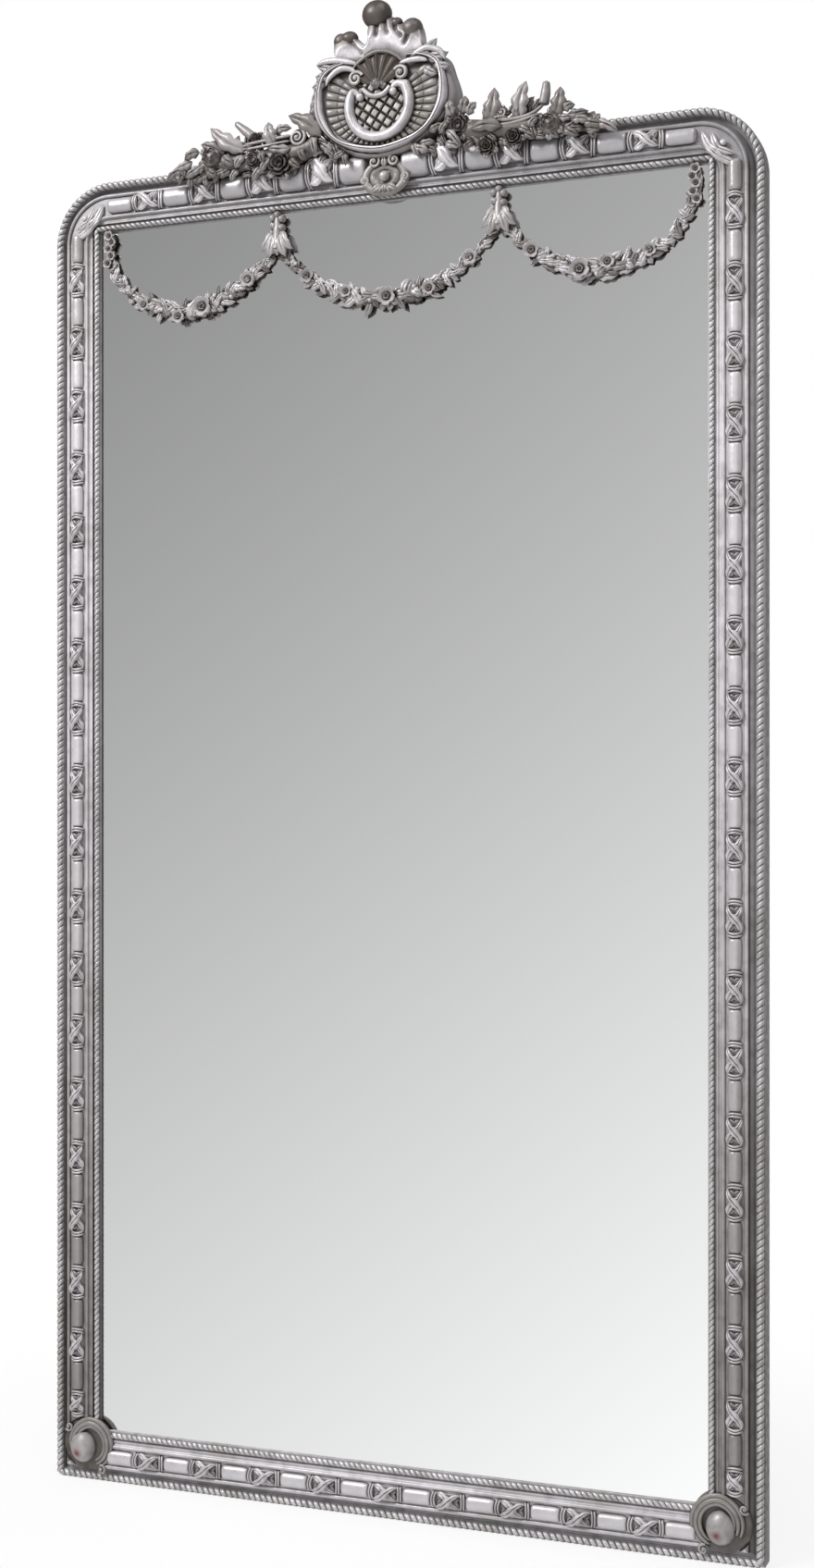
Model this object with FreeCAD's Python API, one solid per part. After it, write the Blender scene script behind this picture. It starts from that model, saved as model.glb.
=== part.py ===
"""Tall baroque mirror: a silvered moulded frame with rounded top corners, a cartouche crest with rose
garlands, three flower swags over the glass, and the backing and hanging hardware behind it.

Millimetres, +Z up, the glass faces -Y. Depths are measured forward from the flat back of the frame,
distances across the moulding inward from its outer edge, and heights on the crest up from the frame's top.
"""

import FreeCAD
import Part

import math
import os

Vector = FreeCAD.Vector

# Overall sizes
FRAME_WIDTH = 1000.0
FRAME_HEIGHT = 1808.0
CREST_RISE = 192.0
CORNER_RADIUS = 84.0

# Moulding, across its face from the outer edge to the sight edge
OUTER_SEAT = 10.5
QUIRK_WIDTH = 1.8
OUTER_COVE = 6.5
BEAD_WIDTH = 5.0
BAND_WIDTH = 24.0
INNER_COVE = 4.2
FILLET_WIDTH = 2.0
INNER_SEAT = 11.5

# Moulding, depths forward of the back
OUTER_DEPTH = 25.5
QUIRK_DEPTH = 2.5
BEAD_DEPTH = 36.0
BEAD_CROWN = 1.6
BAND_DEPTH = 34.5
FILLET_DEPTH = 35.0
INNER_DEPTH = 30.5
COVE_SAG = 1.8
REBATE_DEPTH = 27.5
REBATE_WIDTH = 10.0

SEAT_END = OUTER_SEAT
COVE_START = SEAT_END + QUIRK_WIDTH
BEAD_START = COVE_START + OUTER_COVE
BAND_START = BEAD_START + BEAD_WIDTH
BAND_END = BAND_START + BAND_WIDTH
BEAD_END = BAND_END + BEAD_WIDTH
COVE_END = BEAD_END + INNER_COVE
INNER_START = COVE_END + FILLET_WIDTH
FACE_WIDTH = INNER_START + INNER_SEAT
BAND_MIDDLE = (BAND_START + BAND_END) / 2
SIGHT_HALF = FRAME_WIDTH / 2 - FACE_WIDTH
SIGHT_TOP = FRAME_HEIGHT - FACE_WIDTH
REBATE_WALL = FACE_WIDTH - REBATE_WIDTH

# Clearances
CLEARANCE = 0.3
GLUE_LINE = 0.1
HINGE_CLEARANCE = 0.08
OVERRUN = 6.0

# Rope mouldings
OUTER_ROPE_RADIUS = 4.9
OUTER_ROPE_HEIGHT = 10.0
OUTER_ROPE_SOLE = 1.2
INNER_ROPE_RADIUS = 5.0
INNER_ROPE_HEIGHT = 8.5
OUTER_ROPE_LINE = CLEARANCE + OUTER_ROPE_RADIUS
INNER_ROPE_LINE = FACE_WIDTH - CLEARANCE - INNER_ROPE_RADIUS

# Bars and leaf twists on the band
BAND_PITCH = 87.4
BAR_LENGTH = 40.0
BAR_WIDTH = 20.0
BAR_HEIGHT = 7.5
BAR_SHOULDER = 4.0
BAR_ROUND = 5.0
BAR_COVER = 3.0
TWIST_HEIGHT = 5.0
TWIST_GAP = 1.5
TWIST_LEAF_WIDTH = 8.0
TWIST_SHORTEST = 14.0
COLLAR_WIDTH = 3.0
CORNER_TWIST_LENGTH = 32.0
CORNER_TWIST_LEAN = 4.0

# Bosses on the bottom corners
BOSS_PLACE = 50.0
BOSS_RADIUS = 37.0
BOSS_SEAT = 29.0
BOSS_FLANGE = 6.0
BOSS_RING = 14.0
BOSS_HOLLOW = 8.0
BOSS_DOME_RADIUS = 20.0
BOSS_DOME = 20.0
BOSS_RING_SHARE = 0.8
BOSS_RING_END_SHARE = 0.65

# Dowels in the frame's joints
DOWEL_RADIUS = 4.0
DOWEL_LENGTH = 30.0
DOWEL_DEPTH = 13.0
DOWEL_PLACES = (SEAT_END + DOWEL_RADIUS, BAND_END)

# Glass and what lies behind it
GLASS_COVER = 8.0
GLASS_THICKNESS = 4.0
FELT_THICKNESS = 1.0
BOARD_THICKNESS = 6.0
BOARD_BACK = REBATE_DEPTH - GLASS_THICKNESS - FELT_THICKNESS - BOARD_THICKNESS

# Screws, clips and plates on the back
SCREW_RADIUS = 1.7
SCREW_LENGTH = 14.0
SCREW_HEAD_RADIUS = 3.4
SCREW_HEAD_HEIGHT = 1.8
SCREW_SLOT_WIDTH = 0.9
SCREW_SLOT_DEPTH = 0.8
CLIP_THICKNESS = 1.5
CLIP_WIDTH = 16.0
CLIP_FOOT = 20.0
CLIP_TOE = 15.0
STILE_CLIPS = 4
RAIL_CLIPS = 2
PLATE_THICKNESS = 2.0
PLATE_LEG = 62.0
PLATE_WIDTH = 16.0
PLATE_INSET = 12.0
STRAP_WIDTH = 22.0
STRAP_LENGTH = 96.0
STRAP_PLACE = 62.0
BUMPER_RADIUS = 9.0
BUMPER_THICKNESS = 3.5
BUMPER_INSET = 150.0

# Hangers
HANGER_HEIGHT = 1450.0
HANGER_LINE = 37.0
HANGER_WIDTH = 18.0
HANGER_LENGTH = 32.0
HANGER_THICKNESS = 1.6
HANGER_FIRST_SCREW = 11.0
HANGER_SCREW_STEP = 13.0
RING_WIRE_RADIUS = 2.0
RING_HALF_WIDTH = 15.0
RING_LENGTH = 50.0
BARREL_RADIUS = 4.0
BARREL_GAP = 0.2

# Crest board and the depths of the castings on it
CREST_BOARD_THICKNESS = 28.0
CREST_BOARD_HALF = 272.0
CREST_WING = 15.0
CREST_BOARD_SHARE = 0.88
CREST_DOWEL_PLACES = (70.0, 190.0)
CREST_DOWEL_LENGTH = 26.0
CREST_BLOCK = 50.0
CREST_FACE = 58.0
CREST_GROUND = 52.0
BAND_FRONT = max(BAND_DEPTH + BAR_HEIGHT, BEAD_DEPTH + BEAD_CROWN)
BRACKET_BACK = BAND_FRONT + CLEARANCE
COVER_DEPTH = max(OUTER_DEPTH + OUTER_ROPE_HEIGHT, BAND_FRONT) + CLEARANCE

# Cartouche, its outline as shares of half its width and half its height
CARTOUCHE_HALF_WIDTH = 104.0
CARTOUCHE_HALF_HEIGHT = 66.0
CARTOUCHE_MIDDLE = 45.0
CARTOUCHE_SHARES = (
    (0.0, -1.0), (0.40, -0.87), (0.71, -0.55), (0.93, -0.22), (1.0, 0.10),
    (0.93, 0.53), (0.82, 0.90), (0.52, 1.07), (0.0, 1.06),
)
CARTOUCHE_FACE_SHARE = 0.88
CARTOUCHE_GROUND_SHARE = 0.78
SCROLL_MIDDLE = 47.5
SCROLL_RADIUS = 49.5
SCROLL_WIDTH = 15.0
SCROLL_HEIGHT = 12.0
SCROLL_OPEN_ANGLE = 104.0
RIB_COUNT = 26
RIB_WIDTH = 4.6
RIB_HEIGHT = 3.5
LATTICE_HEIGHT = 2.0
LATTICE_PAD = 8.4
LATTICE_PAD_HEIGHT = 2.6
LATTICE_PITCH = 11.5
SHELL_ROOT = 74.0
SHELL_LENGTH = 38.0
SHELL_FLUTES = 7
SHELL_SPREAD_ANGLE = 124.0
SHELL_ROOT_RADIUS = 2.2
SHELL_TIP_RADIUS = 4.8
SHELL_BALL_RADIUS = 6.5
VOLUTE_RADIUS = 8.0
VOLUTE_HEIGHT = 8.0
VOLUTE_EYE_RADIUS = 4.0
VOLUTE_OUT = 31.0
VOLUTE_UP = 84.0

# Plume above the cartouche: three knobs, the tips of two leaves, and a web's outline as shares
PLUME_ROOT = 96.0
PLUME_ROOT_RADIUS = 17.0
TALL_KNOB_RADIUS = 18.5
TALL_KNOB_OUT = -8.0
LEFT_KNOB_RADIUS = 15.0
LEFT_KNOB_OUT = -52.0
LEFT_KNOB_UP = 138.0
RIGHT_KNOB_RADIUS = 15.0
RIGHT_KNOB_OUT = 39.0
RIGHT_KNOB_UP = 146.0
PLUME_LEAF_TIPS = ((73.0, 128.0), (-88.0, 114.0))
PLUME_WEB_HALF = 52.0
PLUME_WEB_RISE = 44.0
PLUME_WEB_SHARES = (
    (-0.6, 0.0), (-1.0, 0.45), (-0.9, 0.85), (-0.35, 0.78), (-0.2, 1.0), (0.2, 1.0), (0.35, 0.8),
    (0.8, 0.92), (1.0, 0.55), (0.6, 0.0),
)
PLUME_LEAF_WIDTH = 20.0
PLUME_LEAF_THICKNESS = 12.0
PLUME_NECK_SHARE = 0.62
PLUME_DEPTH = CREST_BOARD_THICKNESS + max(PLUME_ROOT_RADIUS, TALL_KNOB_RADIUS) + CLEARANCE
PLUME_TONGUE_HALF = 11.0
PLUME_TONGUE_UP = 165.0

# Bracket below the cartouche, its outline as shares of half its width and of its height
BRACKET_HALF = 34.0
BRACKET_TOP = -23.0
BRACKET_HEIGHT = 46.0
BRACKET_THICKNESS = 7.0
BRACKET_BOSS_RADIUS = 9.0
BRACKET_BOSS_HEIGHT = 6.0
BRACKET_SHARES = ((0.0, -1.0), (0.55, -0.88), (0.98, -0.55), (0.86, -0.16), (0.45, 0.0), (0.0, -0.08))
BRACKET_BOSS_SHARE = 0.52

# Garlands beside the cartouche: places as shares of their length and of their height
GARLAND_START = 95.0
GARLAND_LENGTH = 205.0
GARLAND_HEIGHT = 50.0
GARLAND_DEPTH = 52.0
GARLAND_ROOT_RADIUS = 17.0
GARLAND_TIP_RADIUS = 5.0
GARLAND_SHELF = 13.0
GARLAND_PATH_SHARES = ((0.0, 0.12), (0.25, 0.02), (0.5, 0.0), (0.75, -0.02), (0.97, -0.24))
GARLAND_SHELF_SHARES = (0.08, 0.84)
LEFT_ROSE_SHARES = (
    (0.11, 0.36, 0.28), (0.23, -0.26, 0.40), (0.42, -0.08, 0.28), (0.73, 0.16, 0.36), (0.40, 0.50, 0.16),
)
RIGHT_ROSE_SHARES = (
    (0.07, 0.14, 0.32), (0.26, -0.48, 0.26), (0.43, -0.32, 0.28), (0.67, -0.12, 0.34), (0.36, 0.32, 0.16),
)
LEFT_LEAF_SHARES = (
    (0.06, 0.15, 0.14, 0.90), (0.33, 0.15, 0.31, 0.84), (0.40, 0.15, 0.54, 0.92), (0.52, 0.10, 0.71, 0.88),
    (0.74, 0.20, 1.02, -0.32), (0.52, -0.10, 0.62, -0.42), (0.86, 0.05, 0.97, 0.10),
)
RIGHT_LEAF_SHARES = (
    (0.10, 0.15, 0.09, 0.84), (0.25, 0.10, 0.30, 0.92), (0.45, 0.10, 0.51, 0.96), (0.58, 0.10, 0.65, 0.92),
    (0.74, -0.05, 1.06, -0.50), (0.54, -0.10, 0.56, -0.50), (0.80, 0.05, 0.92, -0.10),
)
GARLAND_LEAF_WIDTH = 17.0
GARLAND_LEAF_THICKNESS = 9.0
ROSE_HEIGHT_SHARE = 0.8
ROSE_TIER_SHARES = (
    (1.0, 0.0), (1.0, 0.35), (0.68, 0.58), (0.62, 0.45), (0.52, 0.82), (0.30, 1.0), (0.22, 0.86),
)

# Swags over the glass: paths as shares of the span and of the drop, roses as shares along the path
KNOT_OUT = 157.0
SWAG_DROP = 122.0
SWAG_RADIUS = 15.0
SWAG_END_RADIUS = 7.0
SWAG_DEPTH = 5.0
SIDE_SWAG_SHARES = (
    (0.055, 0.06), (0.075, 0.42), (0.19, 0.76), (0.38, 0.95), (0.57, 0.98), (0.74, 0.84), (0.88, 0.64),
    (1.0, 0.40),
)
MIDDLE_SWAG_SHARES = (
    (-1.0, 0.40), (-0.83, 0.62), (-0.57, 0.88), (-0.28, 1.02), (0.0, 1.07), (0.28, 1.02), (0.57, 0.88),
    (0.83, 0.62), (1.0, 0.40),
)
SWAG_ROSE_SHARES = ((0.30, 0.75), (0.46, 1.0), (0.60, 0.9), (0.74, 0.75))
SWAG_LEAVES = 12
SWAG_LEAF_LENGTH = 26.0
SWAG_LEAF_WIDTH = 10.0
SWAG_LEAF_THICKNESS = 8.0
SWAG_LEAF_ANGLE = 32.0
SWAG_ROSE_RADIUS = 14.0

# Drops that tie the swags to the top of the sight opening
DROP_LENGTH = 56.0
DROP_HALF_WIDTH = 14.0
DROP_TOP_RADIUS = 6.0
DROP_END_RADIUS = 12.0
DROP_DEPTH = 4.0
DROP_BUD_RADIUS = 6.0
DROP_BUD_SHARES = ((-0.5, 0.30), (0.5, 0.30), (0.0, 0.62))

ALONG = {
    "left": Vector(0, 0, 1),
    "right": Vector(0, 0, 1),
    "top": Vector(1, 0, 0),
    "bottom": Vector(1, 0, 0),
}
FORWARD = Vector(0, -1, 0)
MIDDLE_SIDES = (-1, 1)
MOULDING_FRONT = COVER_DEPTH + OVERRUN


def spot(side, across, along, depth):
    """A point on one side of the frame, by its distance across the moulding, along the side and forward."""
    if side == "left":
        return Vector(across - FRAME_WIDTH / 2, -depth, along)
    if side == "right":
        return Vector(FRAME_WIDTH / 2 - across, -depth, along)
    if side == "bottom":
        return Vector(along, -depth, across)
    return Vector(along, -depth, FRAME_HEIGHT - across)


def on_crest(across, up, depth):
    """A point by its distance from the middle, above the frame's top and forward of the back."""
    return Vector(across, -depth, FRAME_HEIGHT + up)


def line_face(start, steps, place):
    """A face bounded by lines and arcs; a step is its end, or a middle point and its end."""
    edges = []
    here = start
    for step in steps:
        end = step[-1]
        if len(step) == 1:
            edges.append(Part.LineSegment(place(*here), place(*end)).toShape())
        else:
            edges.append(Part.Arc(place(*here), place(*step[0]), place(*end)).toShape())
        here = end
    return Part.Face(Part.Wire(edges))


def polygon_solid(points, sweep):
    """A flat polygon pushed along a vector."""
    return Part.Face(Part.makePolygon(list(points) + [points[0]])).extrude(sweep)


def box_between(low, high):
    """A box by its lowest and highest x, depth and z; depths run forward."""
    corner = Vector(low[0], -high[1], low[2])
    return Part.makeBox(high[0] - low[0], high[1] - low[1], high[2] - low[2], corner)


def round_post(centre, radius, low_depth, high_depth):
    """A cylinder that stands forward, from one depth to another, over a point of the face."""
    base = Vector(centre.x, -low_depth, centre.z)
    return Part.makeCylinder(radius, high_depth - low_depth, base, FORWARD)


def turned(centre, outline):
    """A solid turned about a forward axis through a point; the outline is (radius, depth) from the axis."""
    def place(radius, depth):
        return Vector(centre.x + radius, -depth, centre.z)

    steps = [point if isinstance(point[0], tuple) else (point,) for point in outline[1:]]
    steps.append((outline[0],))
    face = line_face(outline[0], steps, place)
    return face.revolve(Vector(centre.x, 0, centre.z), FORWARD, 360)


def leaf_blade(root, tip, width, low_depth, thickness):
    """A pointed leaf between two points of the face, with arcs for its two edges."""
    run = Vector(tip.x - root.x, 0, tip.z - root.z)
    middle = (root + tip) / 2
    side = Vector(-run.z, 0, run.x).normalize() * (width / 2)

    def lift(point):
        return Vector(point.x, -low_depth, point.z)

    edges = [
        Part.Arc(lift(root), lift(middle + side), lift(tip)).toShape(),
        Part.Arc(lift(tip), lift(middle - side), lift(root)).toShape(),
    ]
    return Part.Face(Part.Wire(edges)).extrude(FORWARD * thickness)


def rose(centre, radius, low_depth):
    """An open rose in tiers of petals, turned about a forward axis."""
    height = radius * ROSE_HEIGHT_SHARE
    outline = [(0.0, low_depth)]
    outline += [(radius * out, low_depth + height * up) for out, up in ROSE_TIER_SHARES]
    outline.append((0.0, outline[-1][1]))
    return turned(centre, outline)


def fused(shapes):
    """One solid from several that overlap."""
    whole = shapes[0].multiFuse(shapes[1:])
    return whole.Solids[0] if len(whole.Solids) == 1 else whole


def largest(shape):
    """The largest solid of a shape that a cut may have left in pieces."""
    return max(shape.Solids, key=lambda solid: solid.Volume)


def cove_middle(start, end):
    """The deepest point of a cove between two points of the moulding's section."""
    across = end[0] - start[0]
    depth = end[1] - start[1]
    reach = math.hypot(across, depth)
    return (
        (start[0] + end[0]) / 2 + COVE_SAG * depth / reach,
        (start[1] + end[1]) / 2 - COVE_SAG * across / reach,
    )


def moulding_front():
    """The front of the moulding's section, from the outer edge to the start of the inner rope's seat."""
    outer_floor = OUTER_DEPTH - QUIRK_DEPTH
    outer_cove = ((COVE_START, outer_floor), (BEAD_START, BEAD_DEPTH))
    inner_cove = ((BEAD_END, BEAD_DEPTH), (COVE_END, FILLET_DEPTH))
    return [
        ((0.0, OUTER_DEPTH),),
        ((SEAT_END, OUTER_DEPTH),),
        ((SEAT_END, outer_floor),),
        ((COVE_START, outer_floor),),
        (cove_middle(*outer_cove), outer_cove[1]),
        (((BEAD_START + BAND_START) / 2, BEAD_DEPTH + BEAD_CROWN), (BAND_START, BEAD_DEPTH)),
        ((BAND_START, BAND_DEPTH),),
        ((BAND_END, BAND_DEPTH),),
        ((BAND_END, BEAD_DEPTH),),
        (((BAND_END + BEAD_END) / 2, BEAD_DEPTH + BEAD_CROWN), (BEAD_END, BEAD_DEPTH)),
        (cove_middle(*inner_cove), inner_cove[1]),
        ((INNER_START, FILLET_DEPTH),),
    ]


def moulding_length(side, low, high):
    """A straight length of the whole moulding, with its rebate."""
    steps = moulding_front() + [
        ((INNER_START, INNER_DEPTH),),
        ((FACE_WIDTH, INNER_DEPTH),),
        ((FACE_WIDTH, REBATE_DEPTH),),
        ((REBATE_WALL, REBATE_DEPTH),),
        ((REBATE_WALL, 0.0),),
        ((0.0, 0.0),),
    ]

    def place(across, depth):
        return spot(side, across, low, depth)

    return line_face((0.0, 0.0), steps, place).extrude(ALONG[side] * (high - low))


def rope_length(side, line, radius, height, seat, low, high):
    """A straight length of half-round rope moulding on its seat."""
    face = line_face(*rope_section(line, radius, height, seat), lambda a, d: spot(side, a, low, d))
    return face.extrude(ALONG[side] * (high - low))


def rope_section(line, radius, height, seat):
    """The rope's section: straight sides under a half circle."""
    spring = seat + height - radius
    steps = [
        ((line - radius, spring),),
        ((line, seat + height), (line + radius, spring)),
        ((line + radius, seat),),
        ((line - radius, seat),),
    ]
    return (line - radius, seat), steps


def mitre_wedge(x_sign, upper, off_stile):
    """What a mitre takes off a stile, or off a rail, at one corner of the frame."""
    reach = FACE_WIDTH + OVERRUN
    far_corner = (reach, -OVERRUN) if off_stile else (-OVERRUN, reach)
    points = []
    for across, along in ((-OVERRUN, -OVERRUN), (reach, reach), far_corner):
        height = FRAME_HEIGHT - along if upper else along
        points.append(Vector(x_sign * (FRAME_WIDTH / 2 - across), OVERRUN, height))
    return polygon_solid(points, FORWARD * (MOULDING_FRONT + OVERRUN))


def boss_centre(x_sign):
    """The middle of a bottom corner's boss, on the back plane."""
    return Vector(x_sign * (FRAME_WIDTH / 2 - BOSS_PLACE), 0, BOSS_PLACE)


def boss_pockets():
    """The two round pockets that the corner bosses sit in."""
    return [
        round_post(boss_centre(sign), BOSS_RADIUS + CLEARANCE, BOSS_SEAT, MOULDING_FRONT)
        for sign in MIDDLE_SIDES
    ]


def corner_centre(x_sign):
    """The centre that a rounded top corner turns about."""
    return Vector(x_sign * (FRAME_WIDTH / 2 - CORNER_RADIUS), 0, FRAME_HEIGHT - CORNER_RADIUS)


def turn_corner(face, x_sign):
    """A section on a stile's end, turned about a top corner's centre up to the rail's end."""
    return face.revolve(corner_centre(x_sign), Vector(0, -x_sign, 0), 90)


def side_of(x_sign):
    """The name of the stile on that side."""
    return "left" if x_sign < 0 else "right"


def frame_dowels():
    """Dowels across every joint of the frame: square in the butt joints, at 45 degrees in the mitres."""
    dowels = []
    diagonal = math.sqrt(0.5)
    for sign in MIDDLE_SIDES:
        centre = corner_centre(sign)
        for place in DOWEL_PLACES:
            joints = (
                (spot(side_of(sign), place, centre.z, DOWEL_DEPTH), Vector(0, 0, 1)),
                (spot("top", place, centre.x, DOWEL_DEPTH), Vector(1, 0, 0)),
                (spot(side_of(sign), place, place, DOWEL_DEPTH), Vector(sign * diagonal, 0, diagonal)),
            )
            for middle, way in joints:
                dowels.append((middle - way * (DOWEL_LENGTH / 2), way, DOWEL_LENGTH))
    return dowels


def crest_dowels():
    """Upright dowels from the top rail into the crest board."""
    depth = CREST_BOARD_THICKNESS / 2
    return [
        (on_crest(sign * place, -CREST_DOWEL_LENGTH / 2, depth), Vector(0, 0, 1), CREST_DOWEL_LENGTH)
        for sign in MIDDLE_SIDES
        for place in CREST_DOWEL_PLACES
        if CREST_DOWEL_LENGTH / 2 + OVERRUN > CREST_WING or place < CREST_BOARD_HALF
    ]


def dowel_solids(dowels, ease):
    """The dowels as cylinders, a little larger and longer where they are holes."""
    return [
        Part.makeCylinder(DOWEL_RADIUS + ease, length + 2 * ease, start - way * ease, way)
        for start, way, length in dowels
    ]


def clip_places():
    """Where the clips hold the backing board: side and distance along it."""
    places = []
    step = (SIGHT_TOP - FACE_WIDTH) / STILE_CLIPS
    for side in ("left", "right"):
        places += [(side, FACE_WIDTH + step * (number + 0.5)) for number in range(STILE_CLIPS)]
    step = 2 * SIGHT_HALF / RAIL_CLIPS
    for side in ("top", "bottom"):
        places += [(side, -SIGHT_HALF + step * (number + 0.5)) for number in range(RAIL_CLIPS)]
    return places


def clip_screw_spots():
    """The clips' screws."""
    return [spot(side, REBATE_WALL - CLIP_FOOT / 2, along, 0) for side, along in clip_places()]


def plate_screw_spots():
    """The bottom corner plates' screws, two in each leg."""
    line = PLATE_INSET + PLATE_WIDTH / 2
    ends = (PLATE_INSET + PLATE_LEG / 2, PLATE_INSET + PLATE_LEG - PLATE_WIDTH / 2)
    spots = []
    for sign in MIDDLE_SIDES:
        for end in ends:
            spots.append(spot(side_of(sign), line, end, 0))
            spots.append(Vector(sign * (FRAME_WIDTH / 2 - end), 0, line))
    return spots


def strap_screw_spots():
    """The crest straps' screws, one into the top rail and one into the crest board on each strap."""
    ends = (-1, 1)
    return [
        on_crest(sign * STRAP_PLACE, end * (STRAP_LENGTH - STRAP_WIDTH) / 2, 0)
        for sign in MIDDLE_SIDES
        for end in ends
    ]


def hanger_spot(x_sign):
    """The middle of a hanger's pivot, on the back plane."""
    return spot(side_of(x_sign), HANGER_LINE, HANGER_HEIGHT, 0)


def hanger_screw_spots():
    """The hangers' screws, two below each pivot."""
    drops = (HANGER_FIRST_SCREW, HANGER_FIRST_SCREW + HANGER_SCREW_STEP)
    return [hanger_spot(sign) - Vector(0, 0, drop) for sign in MIDDLE_SIDES for drop in drops]


def screw_hole(place):
    """A pilot hole from behind, long enough for a screw through no plate."""
    return round_post(place, SCREW_RADIUS + GLUE_LINE, -OVERRUN, SCREW_LENGTH + GLUE_LINE)


def screw(place, seat):
    """A slotted round-head screw driven forward from a seat behind the back plane."""
    crown = seat - SCREW_HEAD_HEIGHT
    half = SCREW_SLOT_WIDTH / 2
    head = round_post(place, SCREW_HEAD_RADIUS, crown, seat)
    shank = round_post(place, SCREW_RADIUS, seat, seat + SCREW_LENGTH)
    slot = box_between(
        (place.x - SCREW_HEAD_RADIUS, crown - OVERRUN, place.z - half),
        (place.x + SCREW_HEAD_RADIUS, crown + SCREW_SLOT_DEPTH, place.z + half),
    )
    return head.fuse(shank).cut(slot)


def bored(shape, holes):
    """A shape with those holes cut that reach it."""
    for hole in holes:
        if hole.BoundBox.intersect(shape.BoundBox):
            shape = shape.cut(hole)
    return shape


def timber_frame():
    """The six pieces of moulding that make the frame."""
    straight_end = FRAME_HEIGHT - CORNER_RADIUS
    rail_end = FRAME_WIDTH / 2 - CORNER_RADIUS
    holes = dowel_solids(frame_dowels() + crest_dowels(), GLUE_LINE)
    spots = clip_screw_spots() + plate_screw_spots() + strap_screw_spots() + hanger_screw_spots()
    holes += [screw_hole(place) for place in spots]
    holes += boss_pockets()
    pieces = {}
    for sign in MIDDLE_SIDES:
        side = side_of(sign)
        stile = moulding_length(side, 0.0, straight_end).cut(mitre_wedge(sign, False, True))
        pieces[side + "_stile"] = bored(stile, holes)
        pieces["top_" + side + "_corner"] = bored(top_corner(sign), holes)
    pieces["top_rail"] = bored(moulding_length("top", -rail_end, rail_end), holes)
    bottom = moulding_length("bottom", -FRAME_WIDTH / 2, FRAME_WIDTH / 2)
    bottom = bored(bottom, [mitre_wedge(sign, False, False) for sign in MIDDLE_SIDES])
    pieces["bottom_rail"] = bored(bottom, holes)
    return pieces


def top_corner(x_sign):
    """A rounded corner block with a square seat for the inner rope and a square rebate for the glass."""
    side = side_of(x_sign)
    centre = corner_centre(x_sign)
    steps = moulding_front() + [((INNER_START, 0.0),), ((0.0, 0.0),)]
    face = line_face((0.0, 0.0), steps, lambda a, d: spot(side, a, centre.z, d))
    inner_radius = CORNER_RADIUS - INNER_START
    sight_radius = CORNER_RADIUS - FACE_WIDTH
    disc = round_post(centre, inner_radius, 0.0, INNER_DEPTH)

    def corner_square(size, low_depth, high_depth):
        reach = sorted((centre.x, centre.x + x_sign * size))
        return box_between((reach[0], low_depth, centre.z), (reach[1], high_depth, centre.z + size))

    block = turn_corner(face, x_sign).fuse(disc.common(corner_square(CORNER_RADIUS, 0.0, INNER_DEPTH)))
    rebate = CORNER_RADIUS - REBATE_WALL
    return bored(block, [
        corner_square(sight_radius, -OVERRUN, MOULDING_FRONT),
        corner_square(rebate, -OVERRUN, REBATE_DEPTH),
        corner_square(inner_radius, INNER_DEPTH, MOULDING_FRONT),
    ])


def outer_ropes():
    """The rope round the outer edge; its top length runs round both corners, its bottom one stands on a sole."""
    straight_end = FRAME_HEIGHT - CORNER_RADIUS
    rail_end = FRAME_WIDTH / 2 - CORNER_RADIUS
    sizes = (OUTER_ROPE_LINE, OUTER_ROPE_RADIUS, OUTER_ROPE_HEIGHT, OUTER_DEPTH)
    pieces = {}
    arcs = []
    for sign in MIDDLE_SIDES:
        side = side_of(sign)
        rope = rope_length(side, *sizes, 0.0, straight_end)
        pieces["outer_rope_" + side] = rope.cut(mitre_wedge(sign, False, True))
        start, steps = rope_section(*sizes)
        face = line_face(start, steps, lambda a, d: spot(side, a, straight_end, d))
        arcs.append(turn_corner(face, sign))
    pieces["outer_rope_top"] = fused([rope_length("top", *sizes, -rail_end, rail_end)] + arcs)
    half = FRAME_WIDTH / 2
    sole = box_between((-half, OUTER_DEPTH, 0.0), (half, OUTER_DEPTH + OUTER_ROPE_HEIGHT, OUTER_ROPE_SOLE))
    bottom = fused([rope_length("bottom", *sizes, -half, half), sole])
    pieces["outer_rope_bottom"] = bored(bottom, [mitre_wedge(sign, False, False) for sign in MIDDLE_SIDES])
    return pieces


def inner_ropes():
    """The rope round the sight edge, mitred above and stopped by the bosses below."""
    sizes = (INNER_ROPE_LINE, INNER_ROPE_RADIUS, INNER_ROPE_HEIGHT, INNER_DEPTH)
    pockets = boss_pockets()
    half = FRAME_WIDTH / 2
    pieces = {}
    for sign in MIDDLE_SIDES:
        side = side_of(sign)
        rope = rope_length(side, *sizes, 0.0, FRAME_HEIGHT)
        cuts = [mitre_wedge(sign, False, True), mitre_wedge(sign, True, True)]
        pieces["inner_rope_" + side] = largest(bored(rope, cuts + pockets))
    for side, upper in (("top", True), ("bottom", False)):
        cuts = [mitre_wedge(sign, upper, False) for sign in MIDDLE_SIDES]
        pieces["inner_rope_" + side] = largest(bored(rope_length(side, *sizes, -half, half), cuts + pockets))
    return pieces


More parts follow.
